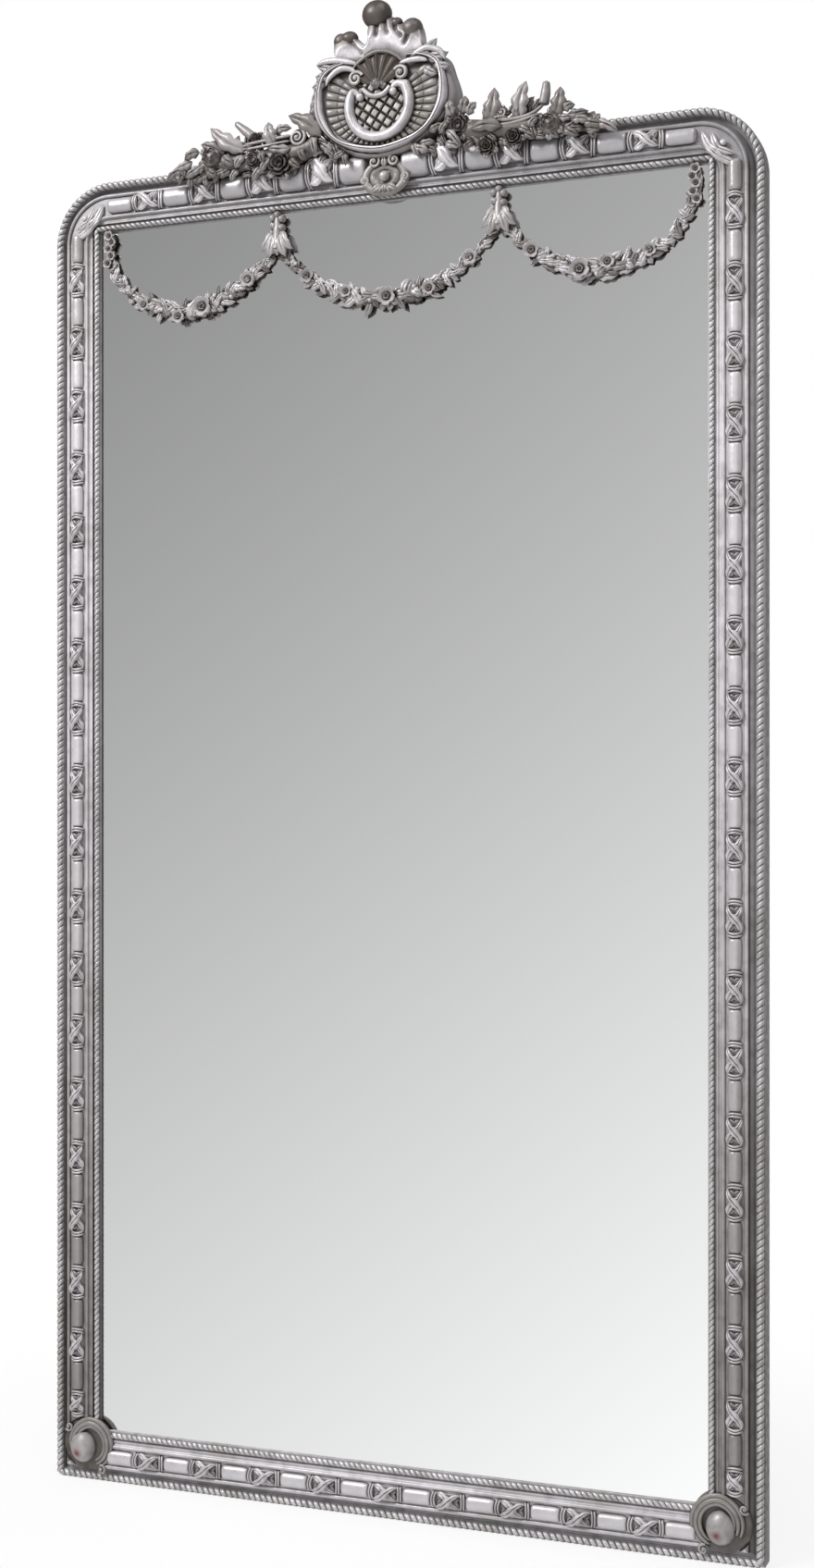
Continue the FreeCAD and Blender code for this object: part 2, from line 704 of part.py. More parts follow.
def band_spans():
    """Where the bars run on each side: the first bar's start, the last one's end and the bars' count."""
    boss_end = BOSS_PLACE + BOSS_RADIUS + TWIST_GAP
    rail_end = FRAME_WIDTH / 2 - CORNER_RADIUS
    low_end = FRAME_WIDTH / 2 - (BOSS_PLACE + BOSS_RADIUS - BAR_COVER)
    room = SIGHT_TOP - boss_end - BAR_LENGTH - TWIST_SHORTEST - TWIST_GAP
    stile_count = math.floor(room / BAND_PITCH) + 1
    stile_start = SIGHT_TOP - BAND_PITCH * (stile_count - 1) - BAR_LENGTH
    return {
        "left": (stile_start, SIGHT_TOP, stile_count),
        "right": (stile_start, SIGHT_TOP, stile_count),
        "top": (-rail_end, rail_end, round((2 * rail_end - BAR_LENGTH) / BAND_PITCH) + 1),
        "bottom": (-low_end, low_end, round((2 * low_end - BAR_LENGTH) / BAND_PITCH) + 1),
    }


def bar_on_band(side, start):
    """A crowned bar with rounded corners lying on the band."""
    half = BAR_WIDTH / 2
    shoulder = BAND_DEPTH + BAR_SHOULDER
    steps = [
        ((BAND_MIDDLE - half, shoulder),),
        ((BAND_MIDDLE, BAND_DEPTH + BAR_HEIGHT), (BAND_MIDDLE + half, shoulder)),
        ((BAND_MIDDLE + half, BAND_DEPTH),),
        ((BAND_MIDDLE - half, BAND_DEPTH),),
    ]
    face = line_face((BAND_MIDDLE - half, BAND_DEPTH), steps, lambda a, d: spot(side, a, start, d))
    bar = face.extrude(ALONG[side] * BAR_LENGTH)
    upright = [edge for edge in bar.Edges if abs(edge.BoundBox.YLength - BAR_SHOULDER) < GLUE_LINE
               and edge.BoundBox.DiagonalLength < BAR_SHOULDER + GLUE_LINE]
    return bored(bar.makeFillet(BAR_ROUND, upright), boss_pockets())


def twist_on_band(side, start, end):
    """Two crossed leaves between a pair of collars, lying on the band."""
    half = BAR_WIDTH / 2
    pieces = []
    low = start + COLLAR_WIDTH / 2
    high = end - COLLAR_WIDTH / 2
    lean = half - TWIST_LEAF_WIDTH / 2
    for way in MIDDLE_SIDES:
        root = spot(side, BAND_MIDDLE - way * lean, low, BAND_DEPTH)
        tip = spot(side, BAND_MIDDLE + way * lean, high, BAND_DEPTH)
        pieces.append(leaf_blade(root, tip, TWIST_LEAF_WIDTH, BAND_DEPTH, TWIST_HEIGHT))
    for edge in (start, end - COLLAR_WIDTH):
        corners = [(-half, edge), (half, edge), (half, edge + COLLAR_WIDTH), (-half, edge + COLLAR_WIDTH)]
        points = [spot(side, BAND_MIDDLE + across, along, BAND_DEPTH) for across, along in corners]
        pieces.append(polygon_solid(points, FORWARD * TWIST_HEIGHT))
    return fused(pieces)


def band_ornaments():
    """Bars and leaf twists in turn along each side, and a twist in each rounded corner."""
    pieces = {}
    for side, (low, high, count) in band_spans().items():
        pitch = (high - low - BAR_LENGTH) / (count - 1)
        starts = [low + pitch * number for number in range(count)]
        twists = [(start + BAR_LENGTH + TWIST_GAP, start + pitch - TWIST_GAP) for start in starts[:-1]]
        if side in ("left", "right"):
            twists.append((BOSS_PLACE + BOSS_RADIUS + TWIST_GAP, low - TWIST_GAP))
        pieces[side + "_bars"] = Part.Compound([largest(bar_on_band(side, start)) for start in starts])
        solids = [twist_on_band(side, *ends) for ends in twists]
        if side == "top":
            solids += [corner_twist(sign) for sign in MIDDLE_SIDES]
        pieces[side + "_leaf_twists"] = Part.Compound(solids)
    return pieces


def corner_twist(x_sign):
    """The leaf twist half way round a rounded corner."""
    centre = corner_centre(x_sign)
    half = CORNER_TWIST_LENGTH / 2
    side = side_of(x_sign)
    leaves = []
    for way in MIDDLE_SIDES:
        root = spot(side, BAND_MIDDLE - way * CORNER_TWIST_LEAN, centre.z - half, BAND_DEPTH)
        tip = spot(side, BAND_MIDDLE + way * CORNER_TWIST_LEAN, centre.z + half, BAND_DEPTH)
        leaves.append(leaf_blade(root, tip, TWIST_LEAF_WIDTH, BAND_DEPTH, TWIST_HEIGHT))
    return fused(leaves).rotate(centre, Vector(0, -x_sign, 0), 45)


def dome_middle(radius, low, top):
    """The point half way up the side of a ball-shaped cap, given its edge and its top."""
    rise = top - low
    ball = (radius ** 2 + rise ** 2) / (2 * rise)
    angle = math.atan2(radius, ball - rise) / 2
    return (ball * math.sin(angle), top - ball * (1 - math.cos(angle)))


def corner_boss(x_sign):
    """A domed boss in a ring collar, over the bottom mitre."""
    dome_edge = (BOSS_DOME_RADIUS, BOSS_SEAT + BOSS_HOLLOW)
    outline = [
        (0.0, BOSS_SEAT),
        (BOSS_RADIUS, BOSS_SEAT),
        (BOSS_RADIUS, BOSS_SEAT + BOSS_FLANGE),
        ((BOSS_RADIUS * BOSS_RING_SHARE, BOSS_SEAT + BOSS_RING),
         (BOSS_RADIUS * BOSS_RING_END_SHARE, BOSS_SEAT + BOSS_HOLLOW)),
        dome_edge,
        (dome_middle(*dome_edge, BOSS_SEAT + BOSS_DOME), (0.0, BOSS_SEAT + BOSS_DOME)),
    ]
    return turned(boss_centre(x_sign), outline)


def glazing():
    """Glass, felt and board, one behind the other in the rebate."""
    half = SIGHT_HALF + GLASS_COVER
    low = FACE_WIDTH - GLASS_COVER
    high = SIGHT_TOP + GLASS_COVER
    pieces = {}
    front = REBATE_DEPTH
    sheets = (
        ("mirror_glass", GLASS_THICKNESS),
        ("backing_felt", FELT_THICKNESS),
        ("backing_board", BOARD_THICKNESS),
    )
    for name, thickness in sheets:
        pieces[name] = box_between((-half, front - thickness, low), (half, front, high))
        front -= thickness
    return pieces


def board_clip(side, along):
    """A cranked clip: its foot on the frame's back, its toe on the backing board."""
    web = REBATE_WALL + GLUE_LINE
    outline = [
        (web - CLIP_FOOT, -CLIP_THICKNESS),
        (web + CLIP_THICKNESS, -CLIP_THICKNESS),
        (web + CLIP_THICKNESS, BOARD_BACK - CLIP_THICKNESS),
        (web + CLIP_TOE, BOARD_BACK - CLIP_THICKNESS),
        (web + CLIP_TOE, BOARD_BACK),
        (web, BOARD_BACK),
        (web, 0.0),
        (web - CLIP_FOOT, 0.0),
    ]
    start = along - CLIP_WIDTH / 2
    points = [spot(side, across, start, depth) for across, depth in outline]
    return polygon_solid(points, ALONG[side] * CLIP_WIDTH)


def corner_plate(x_sign):
    """A flat steel angle across a bottom mitre."""
    near = PLATE_INSET
    far = PLATE_INSET + PLATE_LEG
    inner = PLATE_INSET + PLATE_WIDTH
    corners = ((near, near), (far, near), (far, inner), (inner, inner), (inner, far), (near, far))
    points = [spot(side_of(x_sign), across, up, -PLATE_THICKNESS) for across, up in corners]
    return polygon_solid(points, FORWARD * PLATE_THICKNESS)


def crest_strap(x_sign):
    """A flat steel strap from the top rail to the crest board."""
    half = STRAP_WIDTH / 2
    middle = on_crest(x_sign * STRAP_PLACE, 0.0, 0.0)
    reach = STRAP_LENGTH / 2
    return box_between(
        (middle.x - half, -PLATE_THICKNESS, middle.z - reach), (middle.x + half, 0.0, middle.z + reach)
    )


def back_hardware():
    """Dowels, clips, plates, straps, bumpers and all their screws."""
    def drilled(shapes, spots):
        holes = [screw_hole(place) for place in spots]
        return Part.Compound([bored(shape, holes) for shape in shapes])

    def screws(spots, seat):
        return Part.Compound([screw(place, seat) for place in spots])

    bumper_heights = (BUMPER_INSET, FRAME_HEIGHT - BUMPER_INSET)
    bumpers = [
        round_post(spot(side_of(sign), FACE_WIDTH / 2, height, 0), BUMPER_RADIUS, -BUMPER_THICKNESS, 0.0)
        for sign in MIDDLE_SIDES
        for height in bumper_heights
    ]
    clips = [board_clip(side, along) for side, along in clip_places()]
    plates = [corner_plate(sign) for sign in MIDDLE_SIDES]
    straps = [crest_strap(sign) for sign in MIDDLE_SIDES]
    return {
        "frame_dowels": Part.Compound(dowel_solids(frame_dowels(), 0.0)),
        "crest_dowels": Part.Compound(dowel_solids(crest_dowels(), 0.0)),
        "board_clips": drilled(clips, clip_screw_spots()),
        "clip_screws": screws(clip_screw_spots(), -CLIP_THICKNESS),
        "corner_plates": drilled(plates, plate_screw_spots()),
        "corner_plate_screws": screws(plate_screw_spots(), -PLATE_THICKNESS),
        "crest_straps": drilled(straps, strap_screw_spots()),
        "crest_strap_screws": screws(strap_screw_spots(), -PLATE_THICKNESS),
        "wall_bumpers": Part.Compound(bumpers),
    }


def hanger_axis(x_sign):
    """The middle of a hanger ring's straight bar."""
    return hanger_spot(x_sign) + Vector(0, BARREL_RADIUS + BARREL_GAP, 0)


def hanger_strap(x_sign):
    """A steel strap rolled into a barrel round the ring's bar, with two screw holes below it."""
    axis = hanger_axis(x_sign)
    half = HANGER_WIDTH / 2
    start = axis - Vector(half, 0, 0)
    barrel = Part.makeCylinder(BARREL_RADIUS, HANGER_WIDTH, start, Vector(1, 0, 0))
    tongue = box_between(
        (axis.x - half, 0.0 - HANGER_THICKNESS, axis.z - HANGER_LENGTH), (axis.x + half, 0.0, axis.z)
    )
    bore_radius = RING_WIRE_RADIUS + HINGE_CLEARANCE
    bore_start = start - Vector(OVERRUN, 0, 0)
    bore = Part.makeCylinder(bore_radius, HANGER_WIDTH + 2 * OVERRUN, bore_start, Vector(1, 0, 0))
    return bored(barrel.fuse(tongue).cut(bore), [screw_hole(place) for place in hanger_screw_spots()])


def hanger_ring(x_sign):
    """A D-shaped wire ring that hangs from the strap's barrel."""
    axis = hanger_axis(x_sign)
    leg = RING_LENGTH - RING_HALF_WIDTH
    down = Vector(0, 0, -1)
    left = axis - Vector(RING_HALF_WIDTH, 0, 0)
    right = axis + Vector(RING_HALF_WIDTH, 0, 0)
    bow_centre = axis + down * leg
    bow = Part.makeTorus(RING_HALF_WIDTH, RING_WIRE_RADIUS, bow_centre, Vector(0, 1, 0))
    reach = RING_HALF_WIDTH + OVERRUN
    lower_half = box_between(
        (axis.x - reach, -axis.y - OVERRUN, bow_centre.z - reach),
        (axis.x + reach, -axis.y + OVERRUN, bow_centre.z),
    )
    return fused([
        Part.makeCylinder(RING_WIRE_RADIUS, 2 * RING_HALF_WIDTH, left, Vector(1, 0, 0)),
        Part.makeSphere(RING_WIRE_RADIUS, left),
        Part.makeSphere(RING_WIRE_RADIUS, right),
        Part.makeCylinder(RING_WIRE_RADIUS, leg, left, down),
        Part.makeCylinder(RING_WIRE_RADIUS, leg, right, down),
        bow.common(lower_half),
    ])


def hangers():
    """Two hanger straps, their rings and their screws."""
    pieces = {}
    for sign in MIDDLE_SIDES:
        pieces[side_of(sign) + "_hanger_strap"] = hanger_strap(sign)
        pieces[side_of(sign) + "_hanger_ring"] = hanger_ring(sign)
    screws = [screw(place, -HANGER_THICKNESS) for place in hanger_screw_spots()]
    pieces["hanger_screws"] = Part.Compound(screws)
    return pieces


def mirrored_shares(shares):
    """A half outline from its lowest to its highest point, closed by its mirror image."""
    return list(shares) + [(-out, up) for out, up in reversed(shares[1:-1])]


def cartouche_face(scale, depth, ease=0.0):
    """The cartouche's outline, scaled about its middle and eased outward, as a face at one depth."""
    half_width = CARTOUCHE_HALF_WIDTH * scale + ease
    half_height = CARTOUCHE_HALF_HEIGHT * scale + ease
    points = [
        on_crest(out * half_width, CARTOUCHE_MIDDLE + up * half_height, depth)
        for out, up in mirrored_shares(CARTOUCHE_SHARES)
    ]
    curve = Part.BSplineCurve()
    curve.interpolate(Points=points, PeriodicFlag=True)
    return Part.Face(Part.Wire([curve.toShape()]))


def cartouche_prism(scale, low_depth, high_depth, ease=0.0):
    """The cartouche's outline pushed forward from one depth to another."""
    return cartouche_face(scale, low_depth, ease).extrude(FORWARD * (high_depth - low_depth))


def below_rail_top(front):
    """What the castings leave free for the top rail and its rope."""
    half = FRAME_WIDTH / 2
    return box_between(
        (-half, -OVERRUN, SIGHT_TOP - CREST_RISE), (half, front, FRAME_HEIGHT + CLEARANCE)
    )


def cartouche():
    """The cartouche's body: a block on the crest board, a sloping flange, a rim and a sunk ground."""
    block = cartouche_prism(1.0, CREST_BOARD_THICKNESS, CREST_BLOCK)
    wires = [
        cartouche_face(1.0, CREST_BLOCK).OuterWire,
        cartouche_face(CARTOUCHE_FACE_SHARE, CREST_FACE).OuterWire,
    ]
    flange = Part.makeLoft(wires, True, True)
    ground = cartouche_prism(CARTOUCHE_GROUND_SHARE, CREST_GROUND, CREST_FACE + OVERRUN)
    return largest(bored(block.fuse(flange), [ground, below_rail_top(COVER_DEPTH)]))


def scroll_section(radius, place):
    """A half-round section on the ground, out from the scroll's inner edge."""
    inner = radius - SCROLL_WIDTH
    top = CREST_GROUND + SCROLL_HEIGHT
    shoulder = CREST_GROUND + SCROLL_HEIGHT / 2
    steps = [
        ((inner, shoulder),),
        (((inner + radius) / 2, top), (radius, shoulder)),
        ((radius, CREST_GROUND),),
        ((inner, CREST_GROUND),),
    ]
    return line_face((inner, CREST_GROUND), steps, place)


def c_scroll():
    """An open ring round the lattice, with a gap above for the shell."""
    centre = on_crest(0.0, SCROLL_MIDDLE, 0.0)
    start = math.radians(90 - SCROLL_OPEN_ANGLE / 2)

    def place(radius, depth):
        return centre + Vector(radius * math.cos(start), -depth, radius * math.sin(start))

    return scroll_section(SCROLL_RADIUS, place).revolve(centre, Vector(0, 1, 0), 360 - SCROLL_OPEN_ANGLE)


def cartouche_ribs():
    """Radial ribs on the ground, from the scroll out to the rim."""
    centre = on_crest(0.0, SCROLL_MIDDLE, 0.0)
    start = SCROLL_RADIUS + CLEARANCE
    reach = CARTOUCHE_HALF_WIDTH
    field = cartouche_prism(CARTOUCHE_GROUND_SHARE, CREST_GROUND, CREST_GROUND + RIB_HEIGHT, -CLEARANCE)
    ribs = []
    sweep = 360 - SCROLL_OPEN_ANGLE
    for number in range(RIB_COUNT):
        bar = box_between(
            (centre.x + start, CREST_GROUND, centre.z - RIB_WIDTH / 2),
            (centre.x + reach, CREST_GROUND + RIB_HEIGHT, centre.z + RIB_WIDTH / 2),
        )
        angle = 90 - SCROLL_OPEN_ANGLE / 2 - sweep * (number + 0.5) / RIB_COUNT
        bar.rotate(centre, Vector(0, -1, 0), angle)
        rib = bar.common(field)
        ribs += [solid for solid in rib.Solids if solid.Volume > RIB_WIDTH * RIB_HEIGHT * RIB_WIDTH / 2]
    return Part.Compound(ribs)


def lattice_panel():
    """The round field inside the scroll, with a diagonal grid of raised pads."""
    centre = on_crest(0.0, SCROLL_MIDDLE, 0.0)
    radius = SCROLL_RADIUS - SCROLL_WIDTH - CLEARANCE
    top = CREST_GROUND + LATTICE_HEIGHT
    pads = []
    count = math.ceil(radius / LATTICE_PITCH)
    for row in range(-count, count + 1):
        for column in range(-count, count + 1):
            out = row * LATTICE_PITCH
            up = column * LATTICE_PITCH
            if math.hypot(out, up) + LATTICE_PAD < radius:
                low = (centre.x + out - LATTICE_PAD / 2, top, centre.z + up - LATTICE_PAD / 2)
                high = (low[0] + LATTICE_PAD, top + LATTICE_PAD_HEIGHT, low[2] + LATTICE_PAD)
                pads.append(box_between(low, high).rotate(centre, Vector(0, 1, 0), 45))
    return fused([round_post(centre, radius, CREST_GROUND, top)] + pads)


def shell():
    """A fluted shell over the top of the rim, between two volutes."""
    depth = CREST_FACE + SHELL_TIP_RADIUS
    root = on_crest(0.0, SHELL_ROOT, depth)
    pieces = [Part.makeSphere(SHELL_BALL_RADIUS, root)]
    for number in range(SHELL_FLUTES):
        lean = math.radians(SHELL_SPREAD_ANGLE * (number / (SHELL_FLUTES - 1) - 0.5))
        way = Vector(math.sin(lean), 0, math.cos(lean))
        pieces.append(Part.makeCone(SHELL_ROOT_RADIUS, SHELL_TIP_RADIUS, SHELL_LENGTH, root, way))
        pieces.append(Part.makeSphere(SHELL_TIP_RADIUS, root + way * SHELL_LENGTH))
    for sign in MIDDLE_SIDES:
        eye = on_crest(sign * VOLUTE_OUT, VOLUTE_UP, 0.0)
        front = CREST_FACE + VOLUTE_HEIGHT
        pieces.append(round_post(eye, VOLUTE_RADIUS, CREST_FACE, front))
        pieces.append(round_post(eye, VOLUTE_EYE_RADIUS, CREST_FACE, front + VOLUTE_EYE_RADIUS))
    behind = box_between(
        (-CARTOUCHE_HALF_WIDTH, 0.0, FRAME_HEIGHT),
        (CARTOUCHE_HALF_WIDTH, CREST_FACE, FRAME_HEIGHT + CREST_RISE),
    )
    return largest(fused(pieces).cut(behind))


def plume():
    """Three uneven knobs on stems, joined by a web, and two leaves, from behind the top of the cartouche."""
    root = on_crest(0.0, PLUME_ROOT, PLUME_DEPTH)
    knobs = (
        (TALL_KNOB_OUT, CREST_RISE - TALL_KNOB_RADIUS, TALL_KNOB_RADIUS),
        (LEFT_KNOB_OUT, LEFT_KNOB_UP, LEFT_KNOB_RADIUS),
        (RIGHT_KNOB_OUT, RIGHT_KNOB_UP, RIGHT_KNOB_RADIUS),
    )
    pieces = [Part.makeSphere(PLUME_ROOT_RADIUS, root)]
    for out, up, radius in knobs:
        knob = on_crest(out, up, PLUME_DEPTH)
        run = knob - root
        neck = radius * PLUME_NECK_SHARE
        pieces.append(Part.makeCone(PLUME_ROOT_RADIUS, neck, run.Length, root, run))
        pieces.append(Part.makeSphere(radius, knob))
    leaf_depth = PLUME_DEPTH - PLUME_LEAF_THICKNESS / 2
    for out, up in PLUME_LEAF_TIPS:
        tip = on_crest(out, up, 0.0)
        pieces.append(leaf_blade(root, tip, PLUME_LEAF_WIDTH, leaf_depth, PLUME_LEAF_THICKNESS))
    web = [
        on_crest(out * PLUME_WEB_HALF, PLUME_ROOT + up * PLUME_WEB_RISE, leaf_depth)
        for out, up in PLUME_WEB_SHARES
    ]
    pieces.append(polygon_solid(web, FORWARD * PLUME_LEAF_THICKNESS))
    keep_out = cartouche_prism(1.0, -OVERRUN, CREST_FACE + CREST_FACE, CLEARANCE)
    shell_reach = SHELL_LENGTH + SHELL_TIP_RADIUS + CLEARANCE
    shell_front = CREST_FACE + 2 * SHELL_TIP_RADIUS + CLEARANCE
    shell_room = round_post(on_crest(0.0, SHELL_ROOT, 0.0), shell_reach, CREST_FACE - CLEARANCE, shell_front)
    down = Vector(0, 0, -FRAME_HEIGHT)
    body = fused([piece.translated(down) for piece in pieces])
    return largest(bored(body, [keep_out.translated(down), shell_room.translated(down)])).translated(-down)


def crest_board():
    """A shaped board on the top rail, behind all the crest's castings."""
    wings = box_between(
        (-CREST_BOARD_HALF, 0.0, FRAME_HEIGHT),
        (CREST_BOARD_HALF, CREST_BOARD_THICKNESS, FRAME_HEIGHT + CREST_WING),
    )
    middle = cartouche_prism(CREST_BOARD_SHARE, 0.0, CREST_BOARD_THICKNESS)
    tongue = box_between(
        (TALL_KNOB_OUT - PLUME_TONGUE_HALF, 0.0, FRAME_HEIGHT + CREST_WING),
        (TALL_KNOB_OUT + PLUME_TONGUE_HALF, CREST_BOARD_THICKNESS, FRAME_HEIGHT + PLUME_TONGUE_UP),
    )
    board = fused([wings, middle, tongue]).cut(box_between(
        (-CARTOUCHE_HALF_WIDTH, -OVERRUN, SIGHT_TOP),
        (CARTOUCHE_HALF_WIDTH, CREST_BOARD_THICKNESS + OVERRUN, FRAME_HEIGHT),
    ))
    holes = dowel_solids(crest_dowels(), GLUE_LINE)
    holes += [screw_hole(place) for place in strap_screw_spots()]
    return bored(board, holes)


def crest_bracket():
    """A small shield with a boss, below the cartouche on the face of the top rail."""
    points = [
        on_crest(out * BRACKET_HALF, BRACKET_TOP + up * BRACKET_HEIGHT, BRACKET_BACK)
        for out, up in mirrored_shares(BRACKET_SHARES)
    ]
    curve = Part.BSplineCurve()
    curve.interpolate(Points=points, PeriodicFlag=True)
    plate = Part.Face(Part.Wire([curve.toShape()])).extrude(FORWARD * BRACKET_THICKNESS)
    front = BRACKET_BACK + BRACKET_THICKNESS
    centre = on_crest(0.0, BRACKET_TOP - BRACKET_HEIGHT * BRACKET_BOSS_SHARE, 0.0)
    low = front - BRACKET_THICKNESS / 2
    boss = turned(centre, [
        (0.0, low),
        (BRACKET_BOSS_RADIUS, low),
        (BRACKET_BOSS_RADIUS, front),
        (dome_middle(BRACKET_BOSS_RADIUS, front, front + BRACKET_BOSS_HEIGHT),
         (0.0, front + BRACKET_BOSS_HEIGHT)),
    ])
    return fused([plate, boss]).cut(cartouche_prism(1.0, 0.0, CREST_FACE + OVERRUN, CLEARANCE))


def vine(points, radii):
    """A tapering round stem through points of the face."""
    wires = []
    last = len(points) - 1
    for number, (point, radius) in enumerate(zip(points, radii)):
        way = points[min(number + 1, last)] - points[max(number - 1, 0)]
        wires.append(Part.Wire([Part.makeCircle(radius, point, way)]))
    return Part.makeLoft(wires, True, False)


def garland(x_sign, rose_shares, leaf_shares):
    """One casting of roses and leaves that hooks over the top rail beside the cartouche."""
    def place(along, up, depth):
        return on_crest(x_sign * (GARLAND_START + along * GARLAND_LENGTH), up * GARLAND_HEIGHT, depth)

    points = [place(along, up, GARLAND_DEPTH) for along, up in GARLAND_PATH_SHARES]
    taper = (GARLAND_TIP_RADIUS - GARLAND_ROOT_RADIUS) / (len(points) - 1)
    pieces = [vine(points, [GARLAND_ROOT_RADIUS + taper * number for number in range(len(points))])]
    ends = [place(along, 0.0, 0.0).x for along in GARLAND_SHELF_SHARES]
    pieces.append(box_between(
        (min(ends), CREST_BOARD_THICKNESS, FRAME_HEIGHT + CLEARANCE),
        (max(ends), GARLAND_DEPTH, FRAME_HEIGHT + GARLAND_SHELF),
    ))
    for along, up, radius in rose_shares:
        pieces.append(rose(place(along, up, 0.0), radius * GARLAND_HEIGHT, GARLAND_DEPTH))
    blade_depth = GARLAND_DEPTH - GARLAND_LEAF_THICKNESS / 2
    for root_along, root_up, tip_along, tip_up in leaf_shares:
        root = place(root_along, root_up, 0.0)
        tip = place(tip_along, tip_up, 0.0)
        pieces.append(leaf_blade(root, tip, GARLAND_LEAF_WIDTH, blade_depth, GARLAND_LEAF_THICKNESS))
    keep_out = cartouche_prism(1.0, -OVERRUN, CREST_FACE + CREST_FACE, CLEARANCE)
    return largest(bored(fused(pieces), [keep_out, below_rail_top(COVER_DEPTH)]))


def sight_room():
    """The space in front of the glass, clear of the sight edge and its rope."""
    half = SIGHT_HALF - CLEARANCE
    front = REBATE_DEPTH + CREST_FACE
    return box_between((-half, REBATE_DEPTH, FACE_WIDTH), (half, front, SIGHT_TOP - CLEARANCE))


def drop_room(x_sign):
    """The space that a drop takes between two swags."""
    half = DROP_HALF_WIDTH + CLEARANCE
    middle = x_sign * KNOT_OUT
    return box_between(
        (middle - half, REBATE_DEPTH - OVERRUN, SIGHT_TOP - SWAG_DROP),
        (middle + half, REBATE_DEPTH + CREST_FACE, SIGHT_TOP),
    )


def swag(points):
    """A festoon of roses and leaves along a path, with its flat back on the glass."""
    last = len(points) - 1
    radii = [
        SWAG_END_RADIUS + (SWAG_RADIUS - SWAG_END_RADIUS) * math.sin(math.pi * number / last)
        for number in range(len(points))
    ]
    depth = REBATE_DEPTH + SWAG_DEPTH
    pieces = [vine([Vector(point.x, -depth, point.z) for point in points], radii)]

    def along_path(share):
        here = share * last
        number = min(int(here), last - 1)
        run = points[number + 1] - points[number]
        return points[number] + run * (here - number), run.normalize()

    for share, size in SWAG_ROSE_SHARES:
        centre = along_path(share)[0]
        pieces.append(rose(centre, SWAG_ROSE_RADIUS * size, depth))
    for number in range(SWAG_LEAVES):
        root, way = along_path((number + 0.5) / SWAG_LEAVES)
        lean = math.radians(SWAG_LEAF_ANGLE if number % 2 else -SWAG_LEAF_ANGLE)
        turn = way * math.cos(lean) + Vector(-way.z, 0, way.x) * math.sin(lean)
        tip = root + turn * SWAG_LEAF_LENGTH
        pieces.append(leaf_blade(root, tip, SWAG_LEAF_WIDTH, REBATE_DEPTH, SWAG_LEAF_THICKNESS))
    whole = fused(pieces).common(sight_room())
    return largest(bored(whole, [drop_room(sign) for sign in MIDDLE_SIDES]))


def swags():
    """A swag on each side, from the corner to the knot, and one in the middle."""
    pieces = {}
    span = SIGHT_HALF - KNOT_OUT
    for sign in MIDDLE_SIDES:
        points = [
            Vector(sign * (SIGHT_HALF - along * span), 0, SIGHT_TOP - down * SWAG_DROP)
            for along, down in SIDE_SWAG_SHARES
        ]
        pieces[side_of(sign) + "_swag"] = swag(points)
    points = [
        Vector(along * KNOT_OUT, 0, SIGHT_TOP - down * SWAG_DROP) for along, down in MIDDLE_SWAG_SHARES
    ]
    pieces["middle_swag"] = swag(points)
    return pieces


def swag_drop(x_sign):
    """A tapering drop with three buds, from the sight edge down to where two swags meet."""
    depth = REBATE_DEPTH + DROP_DEPTH
    top = Vector(x_sign * KNOT_OUT, -depth, SIGHT_TOP)
    down = Vector(0, 0, -1)
    pieces = [Part.makeCone(DROP_TOP_RADIUS, DROP_END_RADIUS, DROP_LENGTH, top, down)]
    for out, along in DROP_BUD_SHARES:
        bud = top + down * (along * DROP_LENGTH) + Vector(out * DROP_HALF_WIDTH, 0, 0)
        pieces.append(Part.makeSphere(DROP_BUD_RADIUS, bud + FORWARD * DROP_BUD_RADIUS))
    half = DROP_HALF_WIDTH
    room = box_between(
        (top.x - half, REBATE_DEPTH, top.z - DROP_LENGTH),
        (top.x + half, depth + CREST_FACE, top.z - CLEARANCE),
    )
    return largest(fused(pieces).common(room))


def all_pieces():
    """Every node of the mirror by name, with the back of the frame at y = 0."""
    pieces = timber_frame()
    pieces.update(outer_ropes())
    pieces.update(inner_ropes())
    pieces.update(band_ornaments())
    pieces.update(glazing())
    pieces.update(back_hardware())
    pieces.update(hangers())
    pieces.update(swags())
    for sign in MIDDLE_SIDES:
        pieces[side_of(sign) + "_corner_boss"] = corner_boss(sign)
        pieces[side_of(sign) + "_drop"] = swag_drop(sign)
    pieces["crest_board"] = crest_board()
    pieces["cartouche"] = cartouche()
    pieces["c_scroll"] = c_scroll()
    pieces["cartouche_ribs"] = cartouche_ribs()
    pieces["lattice_panel"] = lattice_panel()
    pieces["shell"] = shell()
    pieces["plume"] = plume()
    pieces["crest_bracket"] = crest_bracket()
    pieces["left_garland"] = garland(-1, LEFT_ROSE_SHARES, LEFT_LEAF_SHARES)
    pieces["right_garland"] = garland(1, RIGHT_ROSE_SHARES, RIGHT_LEAF_SHARES)
    return pieces


def main():
    """Builds the pieces, centres them in depth about the origin and writes one STEP file for each."""
    os.makedirs("parts", exist_ok=True)
    pieces = all_pieces()
    boxes = [shape.optimalBoundingBox(True, False) for shape in pieces.values()]
    middle = (min(box.YMin for box in boxes) + max(box.YMax for box in boxes)) / 2
    for name, shape in pieces.items():
        shape.translate(Vector(0, -middle, 0))
        shape.exportStep("parts/" + name + ".step")
        box = shape.BoundBox
        size = f"{box.XLength:.1f} x {box.YLength:.1f} x {box.ZLength:.1f} mm"
        print(f"{name}: {len(shape.Solids)} solids, valid {shape.isValid()}, {shape.Volume:.0f} mm3, {size}")
    print(f"back of the frame at y = {-middle:.3f} mm, {len(pieces)} nodes")


main()
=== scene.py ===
"""Looks of a tall baroque mirror: twisted ropes, bars and leaf twists, roses, swags and a cartouche crest.

Shapes are drawn in millimetres on the mirror's face, as (across, up, forward of the frame's back).
"""

import math

